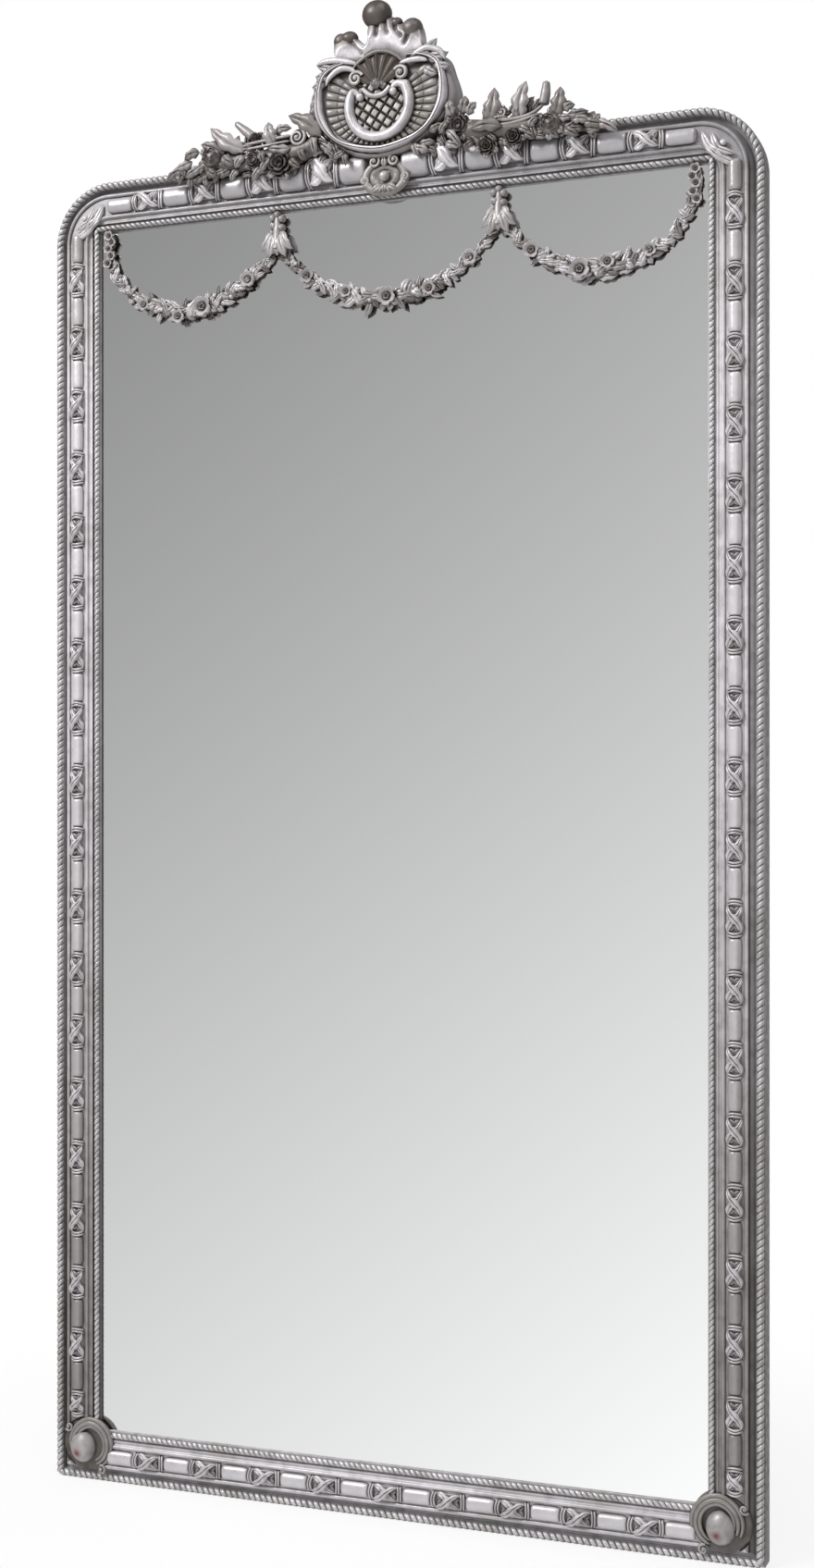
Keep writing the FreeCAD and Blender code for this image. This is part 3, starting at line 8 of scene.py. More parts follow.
import bmesh
import bpy
import numpy as np
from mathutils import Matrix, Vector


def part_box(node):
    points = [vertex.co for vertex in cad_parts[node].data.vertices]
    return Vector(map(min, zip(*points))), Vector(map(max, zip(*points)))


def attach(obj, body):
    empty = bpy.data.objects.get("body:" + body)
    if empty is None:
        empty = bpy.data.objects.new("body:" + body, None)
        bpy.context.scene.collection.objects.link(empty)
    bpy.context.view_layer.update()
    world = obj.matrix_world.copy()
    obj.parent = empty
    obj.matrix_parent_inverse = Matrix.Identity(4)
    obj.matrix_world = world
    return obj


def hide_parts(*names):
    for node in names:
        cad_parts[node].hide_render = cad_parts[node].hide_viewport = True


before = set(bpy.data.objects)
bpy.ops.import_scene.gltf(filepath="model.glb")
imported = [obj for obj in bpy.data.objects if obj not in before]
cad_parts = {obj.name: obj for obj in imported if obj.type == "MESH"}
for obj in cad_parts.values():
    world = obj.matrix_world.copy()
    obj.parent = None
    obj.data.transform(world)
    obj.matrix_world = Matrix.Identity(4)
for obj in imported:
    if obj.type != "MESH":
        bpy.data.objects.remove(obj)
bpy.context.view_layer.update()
BACK_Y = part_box("top_rail")[1][1]
MILLIMETRE = 0.001
SEED = 11
RANDOM = np.random.default_rng(SEED)
SIGNS = {"left": -1, "right": 1}

# Meshes
MERGE_REACH = 0.02
SHARP_ANGLE = math.radians(50)
TRACK_REACH_SHARE = 0.0008
CORNER_STEPS = 24
TUBE_SIDES = 10
STEM_STEPS = 7
STEM_ROUNDING = 12
STEM_TIP_SHARE = 0.02
BALL_ROWS = 13
BALL_SIDES = 22
SPUN_SIDES = 48
VOLUTE_STEPS = 28
VOLUTE_SIDES = 8
VOLUTE_SHARES = (0.86, 0.45, 0.95)
SMALL_LOBES = 2
LARGE_LOBES = 3

# Frame
FRAME_HALF = 500.0
FRAME_TOP = 1808.0
CORNER_RADIUS = 84.0
FACE_WIDTH = 70.5
SIGHT_HALF = FRAME_HALF - FACE_WIDTH
SIGHT_TOP = FRAME_TOP - FACE_WIDTH
GLASS_DEPTH = 27.5
COVER_DEPTH = 42.5

# Ropes: line across the moulding, radius, height over the seat, the seat's depth and the twist's pitch
OUTER_ROPE_LINE = 5.2
OUTER_ROPE_SIZES = (4.9, 10.0, 25.5, 8.7)
INNER_ROPE_LINE = 65.2
INNER_ROPE_SIZES = (3.6, 7.0, 30.5, 7.8)
ROPE_STEPS = 8
ROPE_SIDES = 15
ROPE_GROOVE_SHARE = 0.58
ROPE_SKEW_SHARE = 0.85
ROPE_ARC = math.radians(104)

# Bars and leaf twists
BAND_MIDDLE = 35.8
BAND_DEPTH = 34.5
BAND_PITCH = 87.4
BAR_LENGTH = 40.0
BAR_WIDTHS = {"left": 17.5, "right": 17.5, "top": 20.5, "bottom": 20.0}
TWIST_WIDTH = 22.0
TOP_SWELL = ((120, 19.0), (225.0, 10.5), (305.0, 5.5), (400.0, 0.0))
SWELL_HEIGHT_SHARE = 0.4
BAR_HEIGHT = 7.5
BAR_BULGE = 2.2
BAR_CORNER_SHARE = 5
BAR_COVER = 3.0
BAR_ROUND_SHARE = 16
BAR_GRID = (17, 21)
TWIST_SHORTEST = 15.5
TWIST_CORE_HEIGHT = 1.6
TWIST_LEAF_WIDTH = 11.0
TWIST_CORE_SHARE = 0.38
TWIST_LEAF_THICK = 3.8
TWIST_GRID = (7, 9)
TWIST_CORE_WEAR = 0.6
TWIST_LEAF_WEAR = -0.2
TWIST_LEAF_LIFTS = ((1, 4.2), (-1, 2.4))
TWIST_REACH_SHARE = 0.36
TWIST_SWAY_SHARE = 0.24
TWIST_BUD_SHARES = (0.90, 0.62, 0.2)
COLLAR_RADIUS = 1.4
COLLAR_WEAR = 0.1
COLLAR_PLACES = (1.4, 4.9)
COLLAR_END = 6.2
COLLAR_STEPS = 13
COLLAR_SIDES = 8
BUD_WIDTH = 7.0
BUD_THICK = 2.8
BUD_LIFT = 1.8
BUD_WEAR = 0.45
CORNER_LEAVES = ((3.4, 0.42, 6.0), (2.2, 0.66, -5.0))
CORNER_EYE = (4.5, 4.4)

# Bosses on the bottom corners, drawn on the right one about its centre
BOSS_PLACE = 50.0
BOSS_RADIUS = 37.0
BOSS_SEAT = 29.0
BOSS_PLATE = ((0.0, 0.0), (0.93, 0.0), (0.98, 1.0), (0.97, 4.2), (0.91, 5.4), (0.72, 5.2), (0.0, 5.0))
BOSS_DOME_PLACES = {"left": (5.0, -4.0), "right": (-3.5, -4.0)}
BOSS_DOME_HALVES = (18.8, 21.8)
BOSS_DOME_LOW = 35.0
BOSS_DOME_TOP = 50.5
BOSS_COLLAR_PLACE = (-5.5, 1.5)
BOSS_COLLAR_ANGLES = (-28.0, 246.0)
BOSS_COLLARS = ((24.2, 3.0, 38.0), (29.0, 3.6, 38.2), (34.0, 3.4, 36.4))
BOSS_COLLAR_SQUEEZE = 4.5
BOSS_CURLS = ((-25.0, -32.5, 6.4, 1.2, 1), (26.5, 22.5, 6.2, -0.6, -1))
BOSS_CURL_THICK = 2.2
BOSS_CURL_DEPTH = 37.6
BOSS_RUB_PLACE = (-3.0, -6.5)
BOSS_RUB_REACH = 6.0
BOSS_DOME_GRID = (16, 56)
BOSS_DOME_WEAR = -0.1
BOSS_PLATE_WEAR = 0.8
BOSS_COLLAR_STEPS = 61
BOSS_COLLAR_TAPER_SHARES = (0.30, 0.70)
BOSS_COLLAR_WEAR = 0.3
BOSS_CURL_TURNS = 1.2

# Leaves and roses
LEAF_ROWS = 13
LEAF_FRONT = 9
LEAF_BACK = 4
LEAF_BELLY_SHARE = 0.78
LEAF_THICK = 2.8
LOBE_SHARE = 0.30
VEIN_SHARE = 0.55
FLUTE_SHARE = 0.32
LEAF_EDGE_POWER = 0.8
LEAF_CROWN_POWER = 0.7
VEIN_WIDTH_SHARE = 0.2
LOBE_POWER = 3
FLUTE_LAG_SHARE = 0.5
LEAF_BACK_SHARE = 0.6
LEAF_FADE_POWER = 0.6
ROSE_SIDES = 40
ROSE_EYE_SHARE = 0.10
ROSE_LAYERS_SHARES = ((0.30, 3, 0.80), (0.56, 4, 0.86), (0.80, 5, 0.66), (1.0, 6, 0.38))
FLORET_LAYERS_SHARES = ((0.36, 5, 0.62), (1.0, 5, 0.70))
ROSE_RING_SHARES = ((0.04, 0.0), (0.5, 0.55), (0.88, 1.0), (1.0, 0.86))
PETAL_NOTCH_SHARE = 0.20
PETAL_NOTCH_POWER = 8
PETAL_TURN = 0.7
PETAL_DIP_SHARE = 0.16
PETAL_VALLEY_SHARE = 0.42
PETAL_LAP_SHARE = 0.97
PETAL_DARK_SHARE = 0.3
PETAL_DARK_WEAR = 0.95
ROSE_EYE_RISE_SHARE = 0.30
ROSE_FOOT_SHARE = 0.92
ROSE_FOOT_WEAR = 0.5

# Swags: paths as shares of the span and of the drop; flowers as (share along, radius, share aside)
SWAG_LEAF_STEP = 4.2
SIDE_LEAN_SHARE = 1.35
MIDDLE_LEAN_SHARE = 1.0
SWAG_LEAF_LENGTH = 25.0
SWAG_LEAF_LIFT = 2.2
SWAG_GIRTH = 17.5
SWAG_DROP = 122.0
SWAG_BERRY_RADIUS = 3.2
KNOT_OUT = 157.0
SWAG_STEPS = 40
SWAG_LINE_STEPS = 8
SWAG_FAT_SHARES = (0.40, 0.68)
SWAG_CORE_SHARES = (0.18, 0.44)
SWAG_CORE_WEAR = 0.75
SWAG_PLACE_SHARE = 0.618
SWAG_ASIDE_SHARES = (1.5, 0.62)
SWAG_FOLLOW_SHARES = (0.2, 2.4)
SWAG_STRAY = 0.9
SWAG_DEPTH_SHARES = (0.58, 0.42)
SWAG_SIZE_SHARES = (0.55, 0.45)
SWAG_LEAF_WEARS = (-0.55, 0.85)
CHANCE_LENGTH_SHARE = 0.42
CHANCE_SWAY_SHARES = (0.12, 0.10)
CHANCE_WIDTH_SHARES = (0.50, 0.12)
SWAG_BERRY_STEP = 5
SWAG_BERRY_SHARE = 0.6
FLOWER_SHARES = (0.62, 0.75)
FLOWER_TURN = 9
FLOWER_WEAR = 0.2
FLORET_RISE_SHARE = 0.9
SIDE_SWAG_SHARES = (
    (0.055, 0.05), (0.06, 0.24), (0.09, 0.48), (0.19, 0.76), (0.38, 0.95), (0.57, 0.98), (0.74, 0.84),
    (0.88, 0.64), (0.97, 0.46),
)
MIDDLE_SWAG_SHARES = (
    (-0.95, 0.46), (-0.83, 0.62), (-0.57, 0.88), (-0.28, 1.02), (0.0, 1.07), (0.28, 1.02), (0.57, 0.88),
    (0.83, 0.62), (0.95, 0.46),
)
SIDE_FLOWERS = (
    (0.12, 8.0, 0.1), (0.36, 9.0, 0.2), (0.53, 10.0, 0.45), (0.64, 14.0, 0.0), (0.86, 11.0, 0.0),
)
MIDDLE_FLOWERS = (
    (0.14, 10.5, 0.0), (0.33, 8.5, -0.3), (0.51, 13.0, -0.1), (0.68, 9.5, 0.2), (0.87, 10.5, 0.0),
)
CORNER_FLORETS = ((0.0, 6.0, 7.0), (-4.0, 15.0, 6.5), (1.0, 24.0, 7.0), (-3.0, 34.0, 6.5), (2.0, 44.0, 7.0))

# Drops: florets as (across, down, radius), leaves as (across, down, width)
DROP_STEM = ((2.0, 33.0, 5.5), (28.0, 34.0, 8.0), (50.0, 35.0, 9.0))
DROP_FLORETS = (
    (-6.5, 8.0, 7.0), (6.5, 10.0, 7.0), (0.0, 4.0, 6.5), (-4.5, 19.0, 7.2), (6.0, 22.0, 7.0),
    (-7.0, 28.0, 6.0),
)
DROP_NECK = 27.0
DROP_LEAVES = (
    (-24.0, 52.0, 15.0), (24.0, 52.0, 15.0), (-14.0, 62.0, 17.0), (14.0, 62.0, 17.0), (0.0, 58.0, 18.0),
)
DROP_DEPTH = 36.0
DROP_STEM_WEAR = 0.4
DROP_FLORET_SHARE = 0.8
DROP_FLORET_WEAR = 0.45
DROP_SWAY_SHARE = 3
DROP_LEAF_RISE = 5.0
DROP_LEAF_CURL = 2.0
DROP_LEAF_WEAR = 0.15

# Garlands: flowers as (across, up, radius), leaves as (root, tip, width, lift), stems as paths and radii
GARLAND_DEPTH = 54.0
GARLAND_CORE = ((88, 1817), (130, 1808), (175, 1805), (225, 1806), (262, 1800), (294, 1791))
GARLAND_CORE_RADII = (14.0, 15.0, 14.0, 13.0, 9.0, 3.0)
GARLAND_CORE_DEPTH = 46.0
GARLAND_SHELF = ((112, 38.0, 5.5), (190, 38.0, 5.5), (262, 38.0, 3.5))
GARLAND_SHELF_UP = 6.0
GARLANDS = {
    "left": {
        "roses": ((-143, 1795, 20), (-182, 1804, 14), (-177, 1833, 8.5)),
        "coils": ((-117, 1826, 14),),
        "domes": ((-244, 1815, 18),),
        "leaves": (
            (-194, 1820, -246, 1854, 26, 4), (-228, 1815, -261, 1834, 21, 2),
            (-150, 1821, -160, 1852, 24, 3), (-84, 1824, -131, 1857, 27, 3),
            (-150, 1838, -126, 1840, 14, 2), (-226, 1814, -207, 1799, 16, 7),
            (-97, 1823, -90, 1799, 13, 7), (-112, 1812, -104, 1793, 13, 6),
            (-126, 1813, -160, 1816, 15, 7), (-166, 1814, -163, 1794, 11, 8),
            (-199, 1813, -209, 1795, 15, 5), (-262, 1823, -285, 1815, 17, 4),
            (-274, 1813, -298, 1804, 16, 3), (-284, 1803, -313, 1790, 15, 2),
            (-262, 1806, -284, 1791, 15, 3), (-250, 1799, -234, 1788, 15, 3),
            (-158, 1806, -172, 1786, 13, 5), (-128, 1800, -112, 1786, 13, 4),
        ),
        "stems": (
            (((-182, 1834), (-194, 1844), (-209, 1857)), (6.5, 6.0, 3.6)),
            (((-126, 1830), (-160, 1828), (-198, 1825)), (2.6, 2.6, 2.2)),
            (((-128, 1823), (-160, 1821), (-194, 1819)), (2.4, 2.4, 2.0)),
            (((-196, 1816), (-216, 1822), (-232, 1834)), (3.0, 3.4, 2.0)),
        ),
    },
    "right": {
        "roses": ((109, 1815, 17), (184, 1792, 14), (148, 1784, 13.5)),
        "coils": ((168, 1825, 9),),
        "domes": ((232, 1803, 17.5),),
        "leaves": (
            (104, 1827, 97, 1849, 17, 4), (112, 1829, 119, 1852, 19, 3), (123, 1826, 134, 1842, 16, 3),
            (147, 1812, 158, 1858, 27, 2), (193, 1812, 201, 1861, 26, 2), (237, 1811, 246, 1848, 24, 2),
            (250, 1817, 266, 1822, 15, 3), (169, 1805, 127, 1806, 19, 8), (93, 1809, 115, 1785, 12, 7),
            (256, 1812, 284, 1812, 15, 4), (260, 1803, 286, 1799, 15, 4), (276, 1803, 304, 1793, 15, 3),
            (290, 1797, 322, 1781, 14, 2), (252, 1796, 271, 1783, 14, 3), (206, 1799, 218, 1812, 13, 5),
            (130, 1791, 117, 1781, 11, 3), (92, 1822, 84, 1806, 12, 5), (200, 1796, 214, 1786, 12, 3),
        ),
        "stems": (
            (((224, 1826), (227, 1842), (228, 1857)), (7.0, 6.6, 4.6)),
            (((138, 1817), (176, 1814), (206, 1817), (226, 1829)), (2.6, 2.8, 2.8, 2.2)),
            (((140, 1811), (180, 1809), (222, 1817)), (2.4, 2.6, 2.4)),
        ),
    },
}
GARLAND_FILL = 84
GARLAND_FILL_SPAN = (50.0, 292.0)
GARLAND_FILL_LOW = ((50, 1789), (88, 1790), (120, 1786), (200, 1786), (262, 1787), (294, 1788))
GARLAND_FILL_HIGH = ((50, 1800), (70, 1812), (88, 1836), (140, 1838), (200, 1836), (250, 1828), (294, 1800))
GARLAND_FILL_LENGTH = 21.0
GARLAND_FILL_DEPTH = (44.0, 56.0)
FILL_RISE_SHARES = (0.4, 2.4)
FILL_STRAY_SHARES = (0.5, 1.8)
FILL_BACK_SHARE = 0.25
FILL_LENGTH_SHARES = (0.75, 0.5)
FILL_SWAY_SHARE = 0.3
FILL_WIDTH_SHARE = 0.55
FILL_LEAF_RISE = 2.5
FILL_LEAF_CURL = 1.0
FILL_LEAF_THICK = 4.0
FILL_WEAR = 0.6
GARLAND_ROSE_SHARE = 0.72
GARLAND_PETALS = 5
GARLAND_STEPS = 6
GARLAND_CORE_SIDES = 14
GARLAND_CORE_WEAR = 0.7
GARLAND_WIDE_LEAF = 20.0
GARLAND_LEAF_SWAY_SHARE = 0.14
GARLAND_LEAF_RISE = 3.0
GARLAND_LEAF_CURL = 1.0
GARLAND_LEAF_THICK = 5.0
GARLAND_LEAF_WEARS = (0.15, 0.35)
GARLAND_STEM_LIFT = 4.0
GARLAND_STEM_WEAR = 0.3
GARLAND_ROSE_TURN = 1.3
GARLAND_ROSE_WEAR = 0.42
RING_WIDTH_SHARE = 0.80
RING_REACH_SHARES = (0.5, 1.22)
RING_SWAY_SHARE = 0.1
RING_RISE = 2.0
RING_CURL = 1.0
COIL_PAD_SHARES = (0.9, 0.5)
COIL_PAD_WEAR = 0.8
COIL_SHARES = (0.82, 0.35, 0.2)
COIL_TURNS = 1.8
COIL_START = 1.0
DOME_RING_TURN = 0.4
DOME_SHARES = (0.86, 0.8)
DOME_WEAR = 0.45
DOME_ROSE_SHARES = (0.75, 0.74)
DOME_ROSE_LIFT = 3.0
DOME_ROSE_TURN = 0.5
DOME_ROSE_WEAR = 0.35

# Cartouche: half outlines as shares of half its width and half its height
CREST_GROUND = 52.0
CARTOUCHE_HALF_WIDTH = 104.0
CARTOUCHE_HALF_HEIGHT = 66.0
CARTOUCHE_UP = FRAME_TOP + 45.0
CARTOUCHE_SHARES = (
    (0.0, -1.0), (0.40, -0.87), (0.71, -0.55), (0.93, -0.22), (1.0, 0.10),
    (0.93, 0.53), (0.82, 0.90), (0.52, 1.07), (0.0, 1.06),
)
RIM_SHARES = (
    (0.0, -0.84), (0.38, -0.73), (0.61, -0.54), (0.76, -0.27), (0.84, 0.06),
    (0.83, 0.50), (0.74, 0.80), (0.48, 0.95), (0.0, 0.95),
)
FLANGE_STEPS = (
    (-0.10, 28.5), (0.0, 29.5), (0.0, 47.5), (0.10, 50.5), (0.30, 53.0), (0.42, 53.6), (0.54, 54.6),
    (0.60, 53.8), (0.68, 59.5), (0.80, 62.0), (0.92, 62.6), (1.0, 61.4), (1.08, 62.8), (1.22, 62.6),
    (1.33, 60.6), (1.40, 57.0), (1.46, 52.6),
)
RIM_EDGES = (0.62, 1.38)
RIM_WEAR = -0.45
FLANGE_WEAR = 0.5
GROUND_WEAR = 0.8
CARTOUCHE_STEPS = 12
CARTOUCHE_LOW = FRAME_TOP + 1.0
GROUND_SHARES = (0.84, 0.55, 0.28, 0.0)
FLANGE_BEADS = 46
FLANGE_BEAD_RISE = 2.6
FLANGE_BEAD_SHARES = (0.05, 0.5)
SHOULDER_DEPTH = 60.0
SHOULDER_SIDES = 12
SHOULDER_WEAR = -0.3
SHOULDERS = (
    (((-32, 1899), (-40, 1906), (-55, 1908), (-70, 1899), (-76, 1888)), (2.0, 3.6, 4.2, 3.2, 1.2)),
    (((-30, 1911), (-45, 1916), (-62, 1920), (-78, 1920), (-89, 1917)), (2.4, 4.0, 4.6, 4.0, 1.4)),
    (((28, 1905), (42, 1907), (56, 1907), (68, 1904)), (1.6, 3.6, 3.8, 2.0)),
    (((44, 1912), (56, 1917), (68, 1920), (84, 1914), (92, 1902)), (1.6, 3.8, 4.4, 4.2, 2.0)),
)
SHOULDER_LEAVES = (
    (-48, 1914, -91, 1919, 15), (-70, 1904, -92, 1904, 16), (-78, 1896, -97, 1890, 13),
    (52, 1914, 80, 1932, 17), (66, 1912, 96, 1912, 18), (76, 1902, 99, 1894, 15),
    (62, 1898, 82, 1886, 14),
)

# Side leaves of the crest: depth, rise, curl, thickness, sway as a share of the length, lobes and wear
SHOULDER_LEAF = (56.0, 2.0, 1.0, 4.0, 0.16, SMALL_LOBES, 0.3)
PLUME_LEAF = (47.0, 3.0, 2.0, 5.0, 0.12, LARGE_LOBES, 0.2)

# Ribs, scroll, lattice and shell inside the rim
SCROLL_PLACE = (-1.0, 1855.5)
SCROLL_MEAN = 42.0
SCROLL_TUBE = 7.0
SCROLL_DEPTH = 57.0
SCROLL_ANGLES = (152.0, 388.0)
SCROLL_HEAD = ((-25.0, 1864.0), (-31.0, 1872.0))
SCROLL_TAIL = ((34.0, 1877.5), (25.5, 1880.0), (19.0, 1876.0), (19.5, 1870.0))
SCROLL_BALLS = ((-27.5, 1868.0, 5.6), (19.5, 1870.0, 5.4))
SCROLL_BALL_DEPTH = 58.5
SCROLL_BALL_WEAR = -0.3
SCROLL_ARC_POINTS = 12
SCROLL_STEPS = 6
SCROLL_SIDES = 18
SCROLL_TAPER_SHARES = ((0.0, 0.30), (0.16, 1.0), (0.80, 1.0), (1.0, 0.42))
RIB_COUNT = 30
RIB_GAP = math.radians(52)
RIB_START = 46.0
RIB_RISE = 3.4
RIB_RIM_SHARE = 0.90
RIB_STEPS = 8
RIB_LEAST = RIB_START + 1.0
RIB_POWER = 0.6
RIB_FLOOR = CREST_GROUND + 0.6
RIB_WEARS = (0.55, 0.22)
RIB_STEP_SHARES = (
    (0.0, 0.2), (0.08, 0.9), (0.42, 1.0), (0.46, 0.55), (0.50, 1.0), (0.84, 1.0), (0.94, 0.8), (1.0, 0.1),
)
LATTICE_PITCH = 11.5
LATTICE_SKEW = math.radians(52)
LATTICE_RADIUS = 36.5
LATTICE_RISE = 4.2
LATTICE_FLOOR = 53.0
LATTICE_GRID = (44, 150)
LATTICE_LEAN_SHARE = 1.5
LATTICE_SLOPE_SHARES = (0.485, 0.15)
LATTICE_POWER = 0.8
LATTICE_MIX = (2.3, 3.7)
LATTICE_WEARS = (0.66, 0.30, 0.18)
SHELL_PLACE = (-4.0, 1880.0)
SHELL_GAP = 42.0
SHELL_FLUTES = 7
SHELL_HALF_ANGLE = 72.0
SHELL_REACH = (4.0, 31.0, 11.0)
SHELL_DEPTH = 56.5
SHELL_RISE = 6.0
SHELL_GROOVE = 4.8
SHELL_ROWS = 14
SHELL_STEPS = 8
SHELL_FLUTE_POWER = 0.8
SHELL_CROWN_SHARE = 0.62
SHELL_GROOVE_POWER = 0.7
SHELL_WEARS = (0.30, 0.45, 0.5)
SHELL_WEAR_POWER = 0.5
SHELL_ARCH = ((-40, 1903), (-29, 1913), (-15, 1921), (-1, 1924.5), (14, 1921.5), (26, 1914), (36, 1903))
SHELL_ARCH_RADIUS = 2.8
SHELL_ARCH_DEPTH = 60.0
SHELL_ARCH_STEPS = 6
SHELL_ARCH_END = 0.25
SHELL_ARCH_POWER = 0.5
SHELL_ARCH_WEAR = 0.6
SHELL_TONGUES = ((-12.0, 1886.0, 6.0), (3.0, 1886.0, 6.0), (-4.5, 1891.0, 6.5))
SHELL_TONGUE_ROOT = (-4.5, 1876.0)
SHELL_TONGUE_DEPTH = 60.5
SHELL_TONGUE_RISE = 1.5
SHELL_TONGUE_WEAR = 0.35
SHELL_SMILE = ((-24, 1878), (-14, 1869.5), (-4, 1867), (7, 1869.5), (15, 1877))
SHELL_VOLUTES = ((-33, 1892.5, 10.0, 0.4, 1), (30, 1892.5, 9.6, 2.6, -1))
SHELL_SMILE_STEPS = 5
SHELL_SMILE_DEPTH = 58.5
SHELL_SMILE_RADIUS = 3.4
SHELL_SMILE_WEAR = -0.2
VOLUTE_THICK = 3.2
VOLUTE_TURNS = 1.5

# Plume: the web's lower and upper edges, the knobs with their stain, clefts in the web, and side leaves
WEB_LOW = (
    (-58, 1914), (-48, 1911), (-38, 1909), (-27, 1914), (-15, 1921), (-2, 1924), (11, 1922), (24, 1915),
    (36, 1909), (48, 1910), (58, 1914),
)
WEB_HIGH = (
    (-60, 1924), (-68, 1936), (-67, 1950), (-58, 1958), (-44, 1958), (-33, 1948), (-23, 1940),
    (-18, 1949), (-20, 1961), (-14, 1972), (4, 1976), (15, 1971), (22, 1966), (30, 1962), (40, 1963),
    (53, 1957), (58, 1945), (60, 1928),
)
WEB_ROWS = 27
WEB_STEPS = 8
WEB_RISE = ((0.0, 51.0), (0.25, 56.5), (0.6, 59.0), (0.85, 56.0), (1.0, 49.0))
WEB_BACK = 41.0
WEB_WEAR = -0.12
WEB_BACK_WEAR = 0.5
KNOBS = (
    (-6.5, 1976.5, 20.5, 18.5, 0.92), (-58.0, 1948.0, 10.0, 10.5, 0.85), (-45.5, 1950.0, 12.0, 9.5, 0.95),
    (43.0, 1951.5, 14.5, 13.5, 0.82), (21.0, 1962.0, 8.5, 7.0, 0.95),
)
KNOB_DEPTH = 50.0
KNOB_FLAT_SHARE = 0.80
KNOB_STAIN_SHARE = 1.45
STAIN_REACH_SHARE = 0.9
CLEFTS = (
    ((-26, 1926), (-34, 1935), (-42, 1945)), ((20, 1958), (22, 1949), (29, 1942)),
    ((34, 1932), (38, 1939), (41, 1946)), ((-4, 1966), (-5, 1955), (-6, 1947)),
    ((6, 1964), (8, 1955), (10, 1948)),
)
CLEFT_WIDTH = 2.6
CLEFT_CUT = 3.2
CLEFT_WEAR = 0.55
PLUME_LEAVES = (
    (48, 1916, 76, 1935, 18), (44, 1914, 82, 1921, 18), (-50, 1916, -76, 1928, 17),
    (-46, 1914, -90, 1920, 17),
)

# Bracket
BRACKET_PLACE = (3.0, 1764.0)
BRACKET_OVAL_SHARES = (1.22, 0.90)
BRACKET_CLEAR = 30.0
BRACKET_OUTLINE = (
    (0.0, 42.8), (26.0, 42.8), (28.0, 44.5), (26.0, 48.0), (23.0, 49.4), (19.8, 48.4), (18.0, 46.2),
    (16.5, 48.0), (13.5, 49.8), (10.5, 48.2), (9.2, 46.6), (0.0, 46.6),
)
BRACKET_BALL = 7.0
BRACKET_BALL_DEPTH = 49.0
BRACKET_BALL_WEAR = -0.2
BRACKET_WEAR = 0.28
BRACKET_VOLUTE_THICK = 2.4
BRACKET_VOLUTE_TURNS = 1.4
BRACKET_LEAF_RISE = 1.0
BRACKET_VOLUTES = ((14.0, 20.0, 8.2, 49.0, 1.57, 1), (29.0, -3.0, 6.4, 46.5, -1.57, -1))
BRACKET_LEAVES = (
    (4.0, -12.0, 9.5, -21.0, 9.0), (5.0, -11.0, 18.0, -19.0, 9.0), (0.0, -10.0, 0.0, -21.5, 9.0),
    (0.0, 12.5, 0.0, 27.0, 9.0),
)

# Camera in metres, its place forward of the frame's back
CAMERA_PLACE = (1.0101, -2.5487, 0.9306)
CAMERA_YAW = math.radians(21.31)
CAMERA_LENS = 47.25
CAMERA_SHIFT = 0.0183


def in_scene(points):
    """Points of the mirror's face, as (across, up, forward), in the scene's axes and metres."""
    points = np.asarray(points, dtype=float) * MILLIMETRE
    return np.stack([points[..., 0], BACK_Y - points[..., 2], points[..., 1]], axis=-1)


class Carving:
    """Collects grids of points and makes one smooth mesh of them; a grid may be worn dark or rubbed red."""

    def __init__(self):
        self.points = []
        self.faces = []
        self.wear = []
        self.rub = []
        self.count = 0

    def add(self, grid, wrap_columns=False, wear=0.0, rub=0.0):
        """Takes a grid of (across, up, forward) points, which may close round its columns."""
        grid = np.asarray(grid, dtype=float)
        rows, columns = grid.shape[:2]
        index = np.arange(rows * columns).reshape(rows, columns) + self.count
        if wrap_columns:
            index = np.hstack([index, index[:, :1]])
        quads = np.stack([index[:-1, :-1], index[:-1, 1:], index[1:, 1:], index[1:, :-1]], axis=-1)
        self.points.append(in_scene(grid).reshape(-1, 3))
        self.faces.append(quads.reshape(-1, 4))
        self.wear.append(np.broadcast_to(wear, (rows, columns)).ravel())
        self.rub.append(np.broadcast_to(rub, (rows, columns)).ravel())
        self.count += rows * columns

    def piece(self, name, node, material):
        """Makes the mesh, sets it in a node's place and gives it its material."""
        mesh = bpy.data.meshes.new(name)
        mesh.from_pydata(np.concatenate(self.points).tolist(), [], np.concatenate(self.faces).tolist())
        for layer, values in (("wear", self.wear), ("rub", self.rub)):
            mesh.attributes.new(layer, "FLOAT", "POINT").data.foreach_set("value", np.concatenate(values))
        reach = MERGE_REACH * MILLIMETRE
        work = bmesh.new()
        work.from_mesh(mesh)
        bmesh.ops.remove_doubles(work, verts=work.verts, dist=reach)
        bmesh.ops.dissolve_degenerate(work, dist=reach, edges=work.edges)
        bmesh.ops.recalc_face_normals(work, faces=work.faces)
        work.to_mesh(mesh)
        work.free()
        mesh.shade_smooth()
        mesh.set_sharp_from_angle(angle=SHARP_ANGLE)
        mesh.materials.append(material)
        made = bpy.data.objects.new(name, mesh)
        bpy.context.scene.collection.objects.link(made)
        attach(made, "frame")
        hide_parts(node)


class Track:
    """A line through points of the face, read by its length."""

    def __init__(self, points):
        self.points = np.asarray(points, dtype=float)
        steps = np.hypot(*np.diff(self.points, axis=0).T)
        self.lengths = np.concatenate([[0.0], np.cumsum(steps)])
        self.length = self.lengths[-1]

    def at(self, along):
        """Places at lengths along the line."""
        return np.stack([np.interp(along, self.lengths, self.points[:, axis]) for axis in (0, 1)], axis=-1)

    def ahead(self, along):
        """Directions of the line at lengths along it."""
        reach = self.length * TRACK_REACH_SHARE
        low = np.clip(along - reach, 0.0, self.length)
        high = np.clip(along + reach, 0.0, self.length)
        run = self.at(high) - self.at(low)
        return run / np.linalg.norm(run, axis=-1, keepdims=True)


